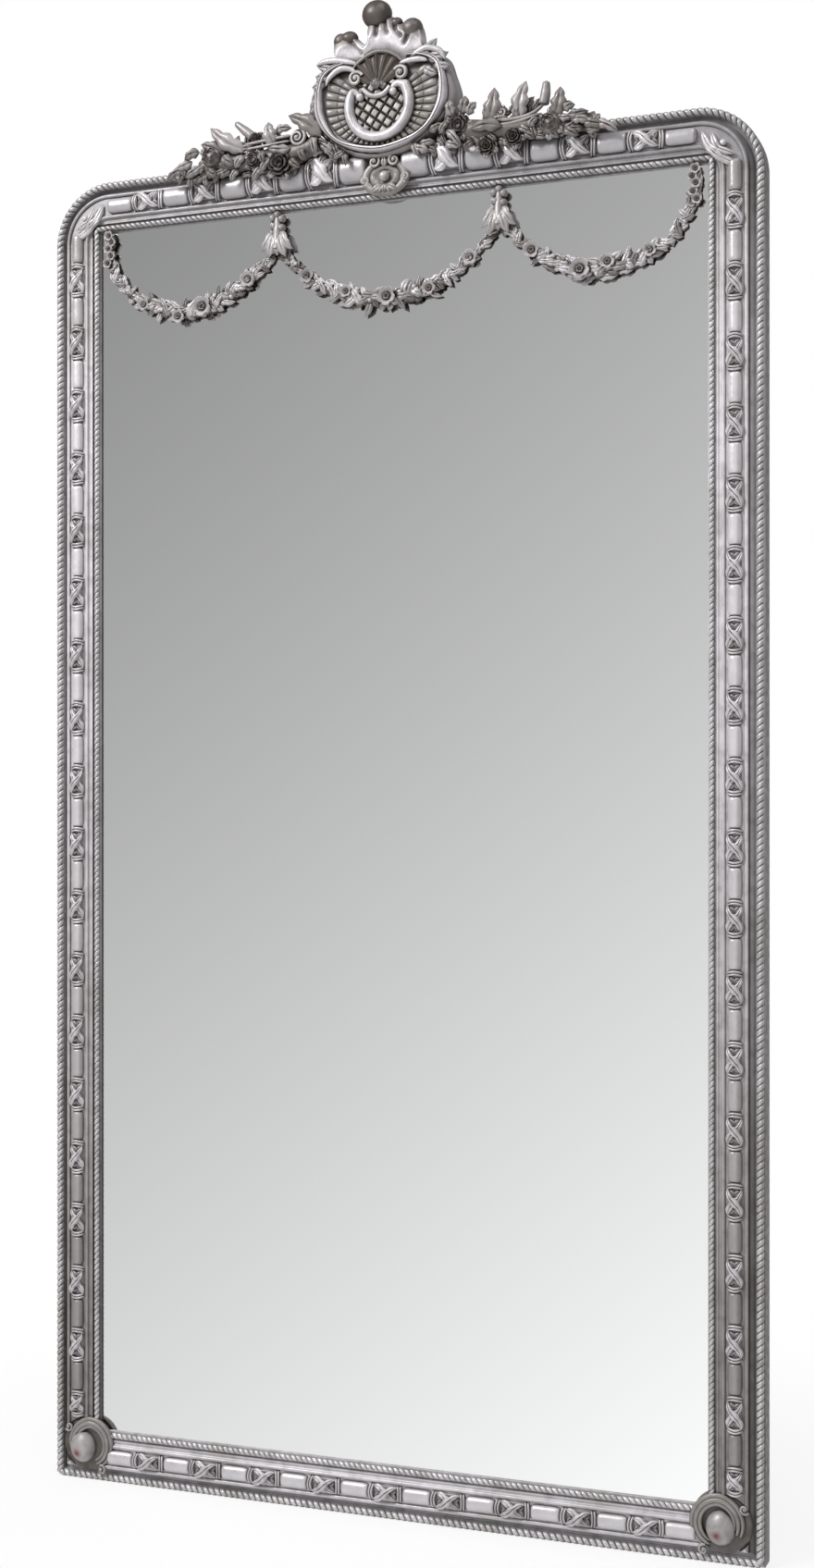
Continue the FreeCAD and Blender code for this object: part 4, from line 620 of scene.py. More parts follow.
def turned_right(ways):
    """Directions in the face turned a quarter to the right."""
    return np.stack([ways[..., 1], -ways[..., 0]], axis=-1)


def around(angle):
    """Directions in the face by their angles from the right."""
    return np.stack([np.cos(angle), np.sin(angle)], axis=-1)


def full_turn(sides):
    """Angles once round, evenly spaced."""
    return np.linspace(0, 2 * math.pi, sides, endpoint=False)


def eased(count):
    """Places from -1 to 1 that lie closer together at the ends."""
    return np.sin(np.linspace(-1, 1, count) * math.pi / 2)


def half_round(out):
    """The height of a half circle over places from -1 to 1."""
    return np.sqrt(np.maximum(0.0, 1 - out ** 2))


def smooth_line(points, steps, closed=False):
    """Points along a smooth curve through the given ones."""
    points = np.asarray(points, dtype=float)
    if closed:
        padded = np.concatenate([points[-1:], points, points[:2]])
    else:
        padded = np.concatenate([2 * points[:1] - points[1:2], points, 2 * points[-1:] - points[-2:-1]])
    share = np.linspace(0, 1, steps, endpoint=False)[:, None]
    runs = []
    for number in range(len(padded) - 3):
        before, start, end, after = padded[number:number + 4]
        runs.append(0.5 * (
            2 * start
            + (end - before) * share
            + (2 * before - 5 * start + 4 * end - after) * share ** 2
            + (3 * start - before - 3 * end + after) * share ** 3
        ))
    line = np.concatenate(runs)
    return line if closed else np.concatenate([line, points[-1:]])


def spread(values, count):
    """Values stretched evenly over a count of places."""
    return np.interp(np.linspace(0, 1, count), np.linspace(0, 1, len(values)), values)


def on_side(side, across, along):
    """Places on one side of the frame, by distance across the moulding and along the side."""
    across, along = np.broadcast_arrays(np.asarray(across, dtype=float), np.asarray(along, dtype=float))
    if side == "left":
        return np.stack([across - FRAME_HALF, along], axis=-1)
    if side == "right":
        return np.stack([FRAME_HALF - across, along], axis=-1)
    if side == "bottom":
        return np.stack([along, across], axis=-1)
    return np.stack([along, FRAME_TOP - across], axis=-1)


def with_depth(places, depth):
    """Places of the face with how far forward each is."""
    places = np.asarray(places, dtype=float)
    depth = np.broadcast_to(depth, places.shape[:-1])
    return np.concatenate([places, depth[..., None]], axis=-1)


def tube(carving, line, radii, sides=TUBE_SIDES, wear=0.0):
    """A round stem along a line of (across, up, forward) points."""
    line = np.asarray(line, dtype=float)
    radii = np.broadcast_to(np.asarray(radii, dtype=float), len(line))
    ahead = np.gradient(line, axis=0)
    ahead /= np.linalg.norm(ahead, axis=1, keepdims=True)
    side = np.cross(ahead, (0.0, 0.0, 1.0))
    side /= np.maximum(np.linalg.norm(side, axis=1, keepdims=True), MERGE_REACH)
    front = np.cross(side, ahead)
    turn = full_turn(sides)
    ring = np.cos(turn)[:, None] * side[:, None, :] + np.sin(turn)[:, None] * front[:, None, :]
    rows = line[:, None, :] + ring * radii[:, None, None]
    ends = [np.broadcast_to(line[end], rows[:1].shape) for end in (0, -1)]
    shades = spread(np.atleast_1d(wear), len(line) + 2)[:, None]
    carving.add(np.concatenate([ends[0], rows, ends[1]]), wrap_columns=True, wear=shades)


def stem(carving, path, radii, depth, sides, wear):
    """A tapering stem along a smooth path of the face, with round ends."""
    line = smooth_line(path, STEM_STEPS)
    share = np.linspace(0, 1, len(line))
    ends = np.sqrt(np.clip(np.minimum(share, 1 - share) * STEM_ROUNDING, STEM_TIP_SHARE, 1.0))
    tube(carving, with_depth(line, depth), spread(radii, len(line)) * ends, sides, wear)


def ball(carving, centre, radius, flat_share=1.0, oval=(1.0, 1.0), wear=0.0):
    """A ball, or one flattened forward or drawn out across or up."""
    rise = np.linspace(-math.pi / 2, math.pi / 2, BALL_ROWS)[:, None]
    turn = full_turn(BALL_SIDES)
    grid = np.stack([
        np.cos(rise) * np.cos(turn) * oval[0],
        np.cos(rise) * np.sin(turn) * oval[1],
        np.sin(rise) * np.ones(len(turn)) * flat_share,
    ], axis=-1)
    carving.add(np.asarray(centre) + grid * radius, wrap_columns=True, wear=wear)


def spun(carving, centre, outline, oval=(1.0, 1.0), wear=0.0):
    """A shape turned about a forward axis; its outline is (radius, depth), and it may be an oval."""
    outline = np.asarray(outline, dtype=float)
    ring = around(full_turn(SPUN_SIDES)) * np.asarray(oval)
    places = ring * outline[:, None, :1] + np.asarray(centre)
    carving.add(with_depth(places, outline[:, None, 1]), wrap_columns=True, wear=wear)


def volute(carving, centre, radius, depth, thick, turns, start, hand):
    """A band that winds in to an eye."""
    wind, taper, eye = VOLUTE_SHARES
    share = np.linspace(0, 1, int(VOLUTE_STEPS * turns))
    angle = start + hand * share * turns * 2 * math.pi
    places = around(angle) * (radius * (1 - wind * share))[:, None] + np.asarray(centre)
    tube(carving, with_depth(places, depth + thick * share), thick * (1 - taper * share), VOLUTE_SIDES)
    ball(carving, (centre[0], centre[1], depth + thick), thick * eye)


def leaf_line(root, tip, sway):
    """A leaf's spine from root to tip, bent to one side or into an S."""
    root = np.asarray(root, dtype=float)
    tip = np.asarray(tip, dtype=float)
    run = tip - root
    normal = np.array((-run[1], run[0]))
    share = np.linspace(0, 1, LEAF_ROWS)[:, None]
    first = root + run / 3 + normal * sway[0]
    second = root + run * 2 / 3 + normal * sway[1]
    return (
        root * (1 - share) ** 3 + 3 * first * share * (1 - share) ** 2
        + 3 * second * share ** 2 * (1 - share) + tip * share ** 3
    )


def blade(
    carving, root, tip, width, depth, rise=0.0, sway=(0.0, 0.0), lobes=0, curl=0.0,
    thick=LEAF_THICK, wear=0.0,
):
    """A leaf from root to tip at a depth, with a vein, lobes, a sway in its line and a curling tip."""
    spine = leaf_line(root, tip, sway)
    share = np.linspace(0, 1, LEAF_ROWS)
    ahead = np.gradient(spine, axis=0)
    ahead /= np.linalg.norm(ahead, axis=1, keepdims=True)
    half = width / 2 * np.sin(math.pi * share ** LEAF_BELLY_SHARE) ** LEAF_EDGE_POWER
    out = np.concatenate([np.linspace(-1, 1, LEAF_FRONT), np.linspace(1, -1, LEAF_BACK + 2)[1:-1]])
    front = np.arange(len(out)) < LEAF_FRONT
    swell = (1 - out ** 2) ** LEAF_CROWN_POWER - VEIN_SHARE * np.exp(-(out / VEIN_WIDTH_SHARE) ** 2)
    if lobes:
        half = half * (1 - LOBE_SHARE * np.abs(np.cos(math.pi * lobes * share)) ** LOBE_POWER)
        lag = FLUTE_LAG_SHARE * np.abs(out)
        wave = np.cos(2 * math.pi * (lobes * share[:, None] - lag)) * np.abs(out)
        swell = swell + FLUTE_SHARE * wave * (1 - out ** 2)
    swell = np.where(front, swell, -LEAF_BACK_SHARE * (1 - out ** 2))
    places = spine[:, None, :] - turned_right(ahead)[:, None, :] * (half[:, None] * out)[..., None]
    lift = depth + rise * np.sin(math.pi * share) + curl * share ** 3
    fade = np.sin(math.pi * share)[:, None] ** LEAF_FADE_POWER
    carving.add(with_depth(places, lift[:, None] + thick * fade * swell), wrap_columns=True, wear=wear)


def rose(carving, centre, radius, depth, height, turn=0.0, layers=ROSE_LAYERS_SHARES, wear=0.0):
    """An open rose in layers of notched petals round a sunk eye."""
    angle = full_turn(ROSE_SIDES)
    rings = [(np.zeros(ROSE_SIDES), np.full(ROSE_SIDES, ROSE_EYE_RISE_SHARE), 1.0)]
    edge = np.full(ROSE_SIDES, radius * ROSE_EYE_SHARE)
    for number, (reach, petals, lip) in enumerate(layers):
        notch = np.abs(np.cos(petals * (angle - turn - number * PETAL_TURN) / 2)) ** PETAL_NOTCH_POWER
        new_edge = radius * reach * (1 - PETAL_NOTCH_SHARE * notch)
        top = lip * (1 - PETAL_DIP_SHARE * notch)
        valley = lip * PETAL_VALLEY_SHARE
        for along, rise in ROSE_RING_SHARES:
            dark = PETAL_DARK_WEAR if rise < PETAL_DARK_SHARE else 0.0
            rings.append((edge + (new_edge - edge) * along, valley + (top - valley) * rise, dark))
        edge = new_edge * PETAL_LAP_SHARE
    rings.append((edge * ROSE_FOOT_SHARE, np.zeros(ROSE_SIDES), ROSE_FOOT_WEAR))
    rings.append((np.zeros(ROSE_SIDES), np.zeros(ROSE_SIDES), ROSE_FOOT_WEAR))
    grid = [
        with_depth(around(angle) * reach[:, None] + np.asarray(centre), depth + height * rise)
        for reach, rise, dark in rings
    ]
    shades = np.array([dark for reach, rise, dark in rings])[:, None]
    carving.add(np.stack(grid), wrap_columns=True, wear=np.maximum(wear, shades))


# Ropes

def rope(carving, track, start, end, sizes):
    """A twisted rope on a stretch of a track; its grooves run slantwise across it."""
    radius, height, seat, pitch = sizes
    count = max(1, round((end - start) / pitch)) * ROPE_STEPS
    rings = np.linspace(start, end, count + 1)
    phase = (np.arange(count + 1) % ROPE_STEPS) / ROPE_STEPS
    swell = ROPE_GROOVE_SHARE + (1 - ROPE_GROOVE_SHARE) * np.sqrt(1 - (2 * phase - 1) ** 2)
    angle = np.linspace(-ROPE_ARC, ROPE_ARC, ROPE_SIDES)
    along = np.clip(rings[:, None] + pitch * ROPE_SKEW_SHARE * angle / math.pi, 0.0, track.length)
    across = np.sin(angle) * radius * swell[:, None]
    depth = seat + height - radius + np.cos(angle) * radius * swell[:, None]
    places = track.at(along) + turned_right(track.ahead(along)) * across[..., None]
    groove = np.clip(1 - (swell - ROPE_GROOVE_SHARE) / (1 - ROPE_GROOVE_SHARE) * 2, 0.0, 1.0)
    carving.add(with_depth(places, depth), wear=groove[:, None])


def round_track(line):
    """The line round the left side, the top with its rounded corners, and the right side."""
    radius = CORNER_RADIUS - line
    turn = np.linspace(0, math.pi / 2, CORNER_STEPS)
    centre = FRAME_HALF - CORNER_RADIUS
    rise = FRAME_TOP - CORNER_RADIUS
    left = np.stack([-centre - radius * np.cos(turn), rise + radius * np.sin(turn)], axis=-1)
    right = left[::-1] * (-1, 1)
    return Track(np.concatenate([[(line - FRAME_HALF, line)], left, right, [(FRAME_HALF - line, line)]]))


def carve_rope(ring, side, track, start, end, sizes):
    """One length of the outer or the inner rope."""
    carving = Carving()
    rope(carving, track, start, end, sizes)
    name = ring + "_rope_" + side
    carving.piece("twisted_" + name, name, SILVER_ROPES[side])


def carve_ropes():
    """The outer rope round the frame and the inner rope round the glass."""
    track = round_track(OUTER_ROPE_LINE)
    stile = FRAME_TOP - CORNER_RADIUS - OUTER_ROPE_LINE
    far = track.length - stile
    for side, start, end in (("left", 0.0, stile), ("top", stile, far), ("right", far, track.length)):
        carve_rope("outer", side, track, start, end, OUTER_ROPE_SIZES)
    low = FRAME_HALF - OUTER_ROPE_LINE
    bottom = Track([(-low, OUTER_ROPE_LINE), (low, OUTER_ROPE_LINE)])
    carve_rope("outer", "bottom", bottom, 0.0, bottom.length, OUTER_ROPE_SIZES)
    half = FRAME_HALF - INNER_ROPE_LINE
    top = FRAME_TOP - INNER_ROPE_LINE
    boss = BOSS_PLACE + math.sqrt(BOSS_RADIUS ** 2 - (INNER_ROPE_LINE - BOSS_PLACE) ** 2)
    boss_out = FRAME_HALF - boss
    lines = {
        "left": ((-half, boss), (-half, top)),
        "right": ((half, boss), (half, top)),
        "top": ((-half, top), (half, top)),
        "bottom": ((-boss_out, INNER_ROPE_LINE), (boss_out, INNER_ROPE_LINE)),
    }
    for side, line in lines.items():
        track = Track(line)
        carve_rope("inner", side, track, 0.0, track.length, INNER_ROPE_SIZES)


# Bars and leaf twists

def band_spans():
    """Where the bars run on each side: the first bar's start, the last one's end and the bars' count."""
    boss_end = BOSS_PLACE + BOSS_RADIUS
    count = math.floor((SIGHT_TOP - boss_end - BAR_LENGTH - TWIST_SHORTEST) / BAND_PITCH) + 1
    start = SIGHT_TOP - BAND_PITCH * (count - 1) - BAR_LENGTH
    ends = {"top": FRAME_HALF - CORNER_RADIUS, "bottom": FRAME_HALF - (boss_end - BAR_COVER)}
    spans = {side: (start, SIGHT_TOP, count) for side in SIGNS}
    for side, end in ends.items():
        spans[side] = (-end, end, round((2 * end - BAR_LENGTH) / BAND_PITCH) + 1)
    return spans


def band_swell(side, along):
    """How much wider the band is at a place: the top rail's swells outward below the crest."""
    if side != "top":
        return 0.0
    return np.interp(abs(along), *np.array(TOP_SWELL).T)


def bar(carving, side, start):
    """A half-round bar with rounded ends."""
    extra = band_swell(side, start + BAR_LENGTH / 2)
    width = BAR_WIDTHS[side] + extra
    height = BAR_HEIGHT + extra * SWELL_HEIGHT_SHARE
    middle = BAND_MIDDLE - extra / 2
    out = eased(BAR_GRID[1])
    along = eased(BAR_GRID[0])[:, None]
    half = BAR_LENGTH / 2 * (1 - np.abs(out) ** BAR_CORNER_SHARE) ** (1 / BAR_CORNER_SHARE)
    places = on_side(side, middle + out * width / 2, start + BAR_LENGTH / 2 + along * half)
    fall = np.sqrt(np.maximum(0.0, 1 - np.abs(along) ** BAR_ROUND_SHARE))
    carving.add(with_depth(places, BAND_DEPTH + height * half_round(out) * fall))


def collar(carving, side, middle, hand):
    """A thin raised band over the moulding, bowed towards one end."""
    out = eased(COLLAR_STEPS)
    extra = band_swell(side, middle)
    along = middle - hand * BAR_BULGE * out ** 2
    height = BAR_HEIGHT + extra * SWELL_HEIGHT_SHARE - COLLAR_RADIUS
    depth = BAND_DEPTH + height * half_round(out)
    half = (BAR_WIDTHS[side] + extra) / 2
    places = on_side(side, BAND_MIDDLE - extra / 2 + out * half, along)
    tube(carving, with_depth(places, depth), COLLAR_RADIUS, COLLAR_SIDES, COLLAR_WEAR)


def twist(carving, side, start, end):
    """Two crossed leaves with buds between collars, over a low dark core."""
    middle = (start + end) / 2
    extra = band_swell(side, middle)
    width = TWIST_WIDTH + extra
    centre = BAND_MIDDLE - extra / 2
    lift = extra * SWELL_HEIGHT_SHARE
    floor = BAND_DEPTH + lift
    out = eased(TWIST_GRID[1])
    along = np.linspace(start, end, TWIST_GRID[0])[:, None]
    rise = (TWIST_CORE_HEIGHT + lift) * half_round(out)
    core = on_side(side, centre + out * width * TWIST_CORE_SHARE, along)
    carving.add(with_depth(core, BAND_DEPTH + rise), wear=TWIST_CORE_WEAR)
    for hand, edge in ((-1, start), (1, end)):
        for step in COLLAR_PLACES:
            collar(carving, side, edge - hand * step, hand)
    low = start + COLLAR_END
    high = end - COLLAR_END
    reach = width * TWIST_REACH_SHARE
    flip = 1 if side in ("left", "top") else -1
    for hand, over in TWIST_LEAF_LIFTS:
        root = on_side(side, centre - hand * reach, low)
        tip = on_side(side, centre + hand * reach, high)
        sway = TWIST_SWAY_SHARE * hand * flip
        wide = TWIST_LEAF_WIDTH * width / TWIST_WIDTH
        leaf = (wide, floor + over, over, (sway, -sway), LARGE_LOBES, 0.0, TWIST_LEAF_THICK)
        blade(carving, root, tip, *leaf, wear=TWIST_LEAF_WEAR)
        for way in (-1, 1):
            far = middle + way * (high - low) / 2 * TWIST_BUD_SHARES[0]
            near = middle + way * (high - low) / 2 * (1 - TWIST_BUD_SHARES[1])
            bud_root = on_side(side, centre + hand * way * reach * TWIST_BUD_SHARES[2], near)
            bud_tip = on_side(side, centre - hand * way * reach, far)
            bud = (BUD_WIDTH, floor + BUD_LIFT, BUD_LIFT)
            blade(carving, bud_root, bud_tip, *bud, thick=BUD_THICK, wear=BUD_WEAR)


def corner_twist(carving, sign):
    """The leaf twist in a rounded top corner."""
    centre = np.array((sign * (FRAME_HALF - CORNER_RADIUS), FRAME_TOP - CORNER_RADIUS))
    radius = CORNER_RADIUS - BAND_MIDDLE
    for hand in (-1, 1):
        for lift, spread_angle, reach in CORNER_LEAVES:
            places = []
            for end in (-1, 1):
                angle = math.pi / 4 + end * hand * spread_angle
                places.append(centre + around(angle) * (sign, 1) * (radius + end * reach))
            sway = TWIST_SWAY_SHARE / 2 * hand * sign
            leaf = (TWIST_LEAF_WIDTH, BAND_DEPTH + lift, lift, (sway, sway), SMALL_LOBES)
            blade(carving, *places, *leaf, thick=TWIST_LEAF_THICK)
    eye = centre + around(math.pi / 4) * (sign, 1) * radius
    ball(carving, (*eye, BAND_DEPTH + CORNER_EYE[0]), CORNER_EYE[1])


def carve_band():
    """Bars and leaf twists along all four sides."""
    for side, (low, high, count) in band_spans().items():
        pitch = (high - low - BAR_LENGTH) / (count - 1)
        starts = [low + pitch * number for number in range(count)]
        twists = [(start + BAR_LENGTH, start + pitch) for start in starts[:-1]]
        if side in SIGNS:
            twists.append((BOSS_PLACE + BOSS_RADIUS, low))
        carving = Carving()
        for start in starts:
            bar(carving, side, start)
        carving.piece("crowned_bars_" + side, side + "_bars", SILVER_BARS[side])
        carving = Carving()
        for start, end in twists:
            covered = side == "top" and abs((start + end) / 2 - BRACKET_PLACE[0]) < BRACKET_CLEAR
            if not covered:
                twist(carving, side, start, end)
        if side == "top":
            for sign in SIGNS.values():
                corner_twist(carving, sign)
        carving.piece("carved_leaf_twists_" + side, side + "_leaf_twists", SILVER_TWISTS[side])


# Bosses

def boss_dome(carving, centre, side):
    """The egg-shaped dome, with a spot rubbed down to the red ground."""
    rise = np.linspace(0, math.pi / 2, BOSS_DOME_GRID[0])[:, None]
    turn = full_turn(BOSS_DOME_GRID[1])
    shape = np.cos(rise)[..., None] * around(turn) * np.array(BOSS_DOME_HALVES)
    middle = centre + np.array(BOSS_DOME_PLACES[side]) * (SIGNS[side], 1)
    depth = BOSS_DOME_LOW + (BOSS_DOME_TOP - BOSS_DOME_LOW) * np.sin(rise)
    spot = np.array(BOSS_RUB_PLACE)
    rub = np.exp(-(np.linalg.norm(shape - spot, axis=-1) / BOSS_RUB_REACH) ** 2)
    grid = with_depth(shape + middle, depth * np.ones(len(turn)))
    carving.add(grid, wrap_columns=True, wear=BOSS_DOME_WEAR, rub=rub)


def carve_boss(side):
    """A domed boss in a C-shaped collar of ridges with curled ends, on a sunk plate."""
    sign = SIGNS[side]
    flip = np.array((sign, 1))
    centre = np.array((sign * (FRAME_HALF - BOSS_PLACE), BOSS_PLACE))
    carving = Carving()
    plate = [(BOSS_RADIUS * reach, BOSS_SEAT + rise) for reach, rise in BOSS_PLATE]
    spun(carving, centre, plate, wear=BOSS_PLATE_WEAR)
    boss_dome(carving, centre, side)
    angle = np.radians(np.linspace(*BOSS_COLLAR_ANGLES, BOSS_COLLAR_STEPS))
    thin, taper = BOSS_COLLAR_TAPER_SHARES
    share = np.linspace(-1, 1, len(angle))
    squeeze = BOSS_COLLAR_SQUEEZE * np.clip(np.cos(angle), 0.0, 1.0)
    for reach, girth, depth in BOSS_COLLARS:
        ring = around(angle) * (reach - squeeze)[:, None] + np.array(BOSS_COLLAR_PLACE)
        radii = girth * (thin + taper * np.sqrt(1 - share ** 4))
        tube(carving, with_depth(centre + ring * flip, depth), radii, wear=BOSS_COLLAR_WEAR)
    for out, up, radius, start, hand in BOSS_CURLS:
        turn = start if sign > 0 else math.pi - start
        eye = centre + np.array((out, up)) * flip
        volute(carving, eye, radius, BOSS_CURL_DEPTH, BOSS_CURL_THICK, BOSS_CURL_TURNS, turn, hand * sign)
    carving.piece("collared_boss_" + side, side + "_corner_boss", SILVER_CREST)


# Swags, drops and garlands

def chance_leaf(carving, place, way, size, depth, lean, wear):
    """One leaf that leaves a stem at an angle, with a little chance in its size and sway."""
    chance = RANDOM.uniform(-1, 1, 3)
    turn = np.array((
        way[0] * math.cos(lean) - way[1] * math.sin(lean), way[0] * math.sin(lean) + way[1] * math.cos(lean)
    ))
    run = turn * size * (1 + CHANCE_LENGTH_SHARE * chance[0])
    sway = CHANCE_SWAY_SHARES[0] * np.sign(lean) + CHANCE_SWAY_SHARES[1] * chance[1]
    width = size * (CHANCE_WIDTH_SHARES[0] + CHANCE_WIDTH_SHARES[1] * chance[2])
    leaf = (width, depth, SWAG_LEAF_LIFT, (sway, sway), SMALL_LOBES)
    blade(carving, place - run / 2, place + run / 2, *leaf, wear=wear)


def festoon(carving, line, flowers, lean_share):
    """Leaves, berries and flowers in an uneven bunch along a line on the glass."""
    track = Track(line)
    low = track.lengths[np.argmin(track.points[:, 1])]
    along = np.linspace(0, track.length, SWAG_STEPS)
    bulge = np.sin(math.pi * np.linspace(0, 1, SWAG_STEPS) ** lean_share) ** 2
    fat = SWAG_GIRTH * (SWAG_FAT_SHARES[0] + SWAG_FAT_SHARES[1] * bulge)
    core = with_depth(track.at(along), GLASS_DEPTH + fat * SWAG_CORE_SHARES[0])
    tube(carving, core, fat * SWAG_CORE_SHARES[1], wear=SWAG_CORE_WEAR)
    count = int(track.length / SWAG_LEAF_STEP)
    for number in range(count):
        here = (number + 1 / 2) / count * track.length
        way = track.ahead(np.array(here)) * (1 if here > low else -1)
        wide = np.interp(here, along, fat)
        aside = ((number * SWAG_PLACE_SHARE) % 1 - 1 / 2) * SWAG_ASIDE_SHARES[0]
        place = track.at(np.array(here)) + turned_right(way) * aside * wide * SWAG_ASIDE_SHARES[1]
        lean = -aside * RANDOM.uniform(*SWAG_FOLLOW_SHARES) + RANDOM.uniform(-SWAG_STRAY, SWAG_STRAY)
        depth = GLASS_DEPTH + wide * (SWAG_DEPTH_SHARES[0] - SWAG_DEPTH_SHARES[1] * abs(aside))
        size = SWAG_LEAF_LENGTH * (SWAG_SIZE_SHARES[0] + SWAG_SIZE_SHARES[1] * wide / SWAG_GIRTH)
        chance_leaf(carving, place, way, size, depth, lean, RANDOM.uniform(*SWAG_LEAF_WEARS))
        if number % SWAG_BERRY_STEP == 0:
            berry = track.at(np.array(here)) - turned_right(way) * aside * wide * SWAG_BERRY_SHARE
            ball(carving, (*berry, GLASS_DEPTH + wide * SWAG_BERRY_SHARE), SWAG_BERRY_RADIUS)
    for share, size, aside in flowers:
        here = np.array(share * track.length)
        wide = np.interp(here, along, fat)
        place = track.at(here) + turned_right(track.ahead(here)) * aside * wide
        sizes = (size, GLASS_DEPTH + wide * FLOWER_SHARES[0], size * FLOWER_SHARES[1], share * FLOWER_TURN)
        rose(carving, place, *sizes, FLORET_LAYERS_SHARES, FLOWER_WEAR)


def carve_swags():
    """The three swags over the top of the glass."""
    span = SIGHT_HALF - KNOT_OUT
    for side, sign in SIGNS.items():
        points = [
            (sign * (SIGHT_HALF - along * span), SIGHT_TOP - down * SWAG_DROP)
            for along, down in SIDE_SWAG_SHARES
        ]
        carving = Carving()
        festoon(carving, smooth_line(points, SWAG_LINE_STEPS), SIDE_FLOWERS, SIDE_LEAN_SHARE)
        for out, down, radius in CORNER_FLORETS:
            place = (points[0][0] + sign * out, SIGHT_TOP - down)
            sizes = (radius, GLASS_DEPTH + radius, radius * FLORET_RISE_SHARE, down)
            rose(carving, place, *sizes, FLORET_LAYERS_SHARES)
        carving.piece("flower_swag_" + side, side + "_swag", SILVER_SWAG)
    points = [(along * KNOT_OUT, SIGHT_TOP - down * SWAG_DROP) for along, down in MIDDLE_SWAG_SHARES]
    carving = Carving()
    festoon(carving, smooth_line(points, SWAG_LINE_STEPS), MIDDLE_FLOWERS, MIDDLE_LEAN_SHARE)
    carving.piece("flower_swag_middle", "middle_swag", SILVER_SWAG)


def carve_drop(side):
    """Florets at the sight edge above a husk of leaves, where two swags meet."""
    carving = Carving()
    top = np.array((SIGNS[side] * KNOT_OUT, SIGHT_TOP))
    line = [(top[0], top[1] - down, depth) for down, depth, radius in DROP_STEM]
    tube(carving, line, [radius for down, depth, radius in DROP_STEM], wear=DROP_STEM_WEAR)
    for out, down, radius in DROP_FLORETS:
        place = (*(top + (out, -down)), DROP_DEPTH)
        ball(carving, place, radius * DROP_FLORET_SHARE, wear=DROP_FLORET_WEAR)
    neck = top - (0.0, DROP_NECK)
    for out, down, width in DROP_LEAVES:
        sway = out / down / DROP_SWAY_SHARE
        leaf = (width, DROP_DEPTH, DROP_LEAF_RISE, (sway, -sway), SMALL_LOBES, DROP_LEAF_CURL)
        blade(carving, neck, top + (out, -down), *leaf, wear=DROP_LEAF_WEAR)
    carving.piece("flower_drop_" + side, side + "_drop", SILVER_SWAG)


def petal_ring(carving, place, radius, depth, count, turn):
    """Petals spread round a flower."""
    for step in range(count):
        way = around(turn + step * 2 * math.pi / count)
        root, tip = (place + way * radius * reach for reach in RING_REACH_SHARES)
        sway = (RING_SWAY_SHARE, RING_SWAY_SHARE)
        blade(carving, root, tip, radius * RING_WIDTH_SHARE, depth, RING_RISE, sway, SMALL_LOBES, RING_CURL)


def garland_foliage(carving, sign):
    """Small leaves in chance places that fill the garland's body between its flowers."""
    for across in np.linspace(*GARLAND_FILL_SPAN, GARLAND_FILL):
        chance = RANDOM.uniform(0, 1, 6)
        low = np.interp(across, *np.array(GARLAND_FILL_LOW).T)
        high = np.interp(across, *np.array(GARLAND_FILL_HIGH).T)
        place = np.array((sign * across, low + (high - low) * chance[0]))
        rise = (chance[0] - FILL_RISE_SHARES[0]) * FILL_RISE_SHARES[1]
        rise += (chance[1] - FILL_STRAY_SHARES[0]) * FILL_STRAY_SHARES[1]
        way = np.array((sign * math.cos(rise), math.sin(rise))) * (1 if chance[2] > FILL_BACK_SHARE else -1)
        length = GARLAND_FILL_LENGTH * (FILL_LENGTH_SHARES[0] + FILL_LENGTH_SHARES[1] * chance[3])
        depth = GARLAND_FILL_DEPTH[0] + (GARLAND_FILL_DEPTH[1] - GARLAND_FILL_DEPTH[0]) * chance[4]
        sway = FILL_SWAY_SHARE * (chance[5] - 1 / 2)
        leaf = (length * FILL_WIDTH_SHARE, depth, FILL_LEAF_RISE, (sway, sway), SMALL_LOBES, FILL_LEAF_CURL)
        ends = (place - way * length / 2, place + way * length / 2)
        blade(carving, *ends, *leaf, FILL_LEAF_THICK, FILL_WEAR * chance[5])


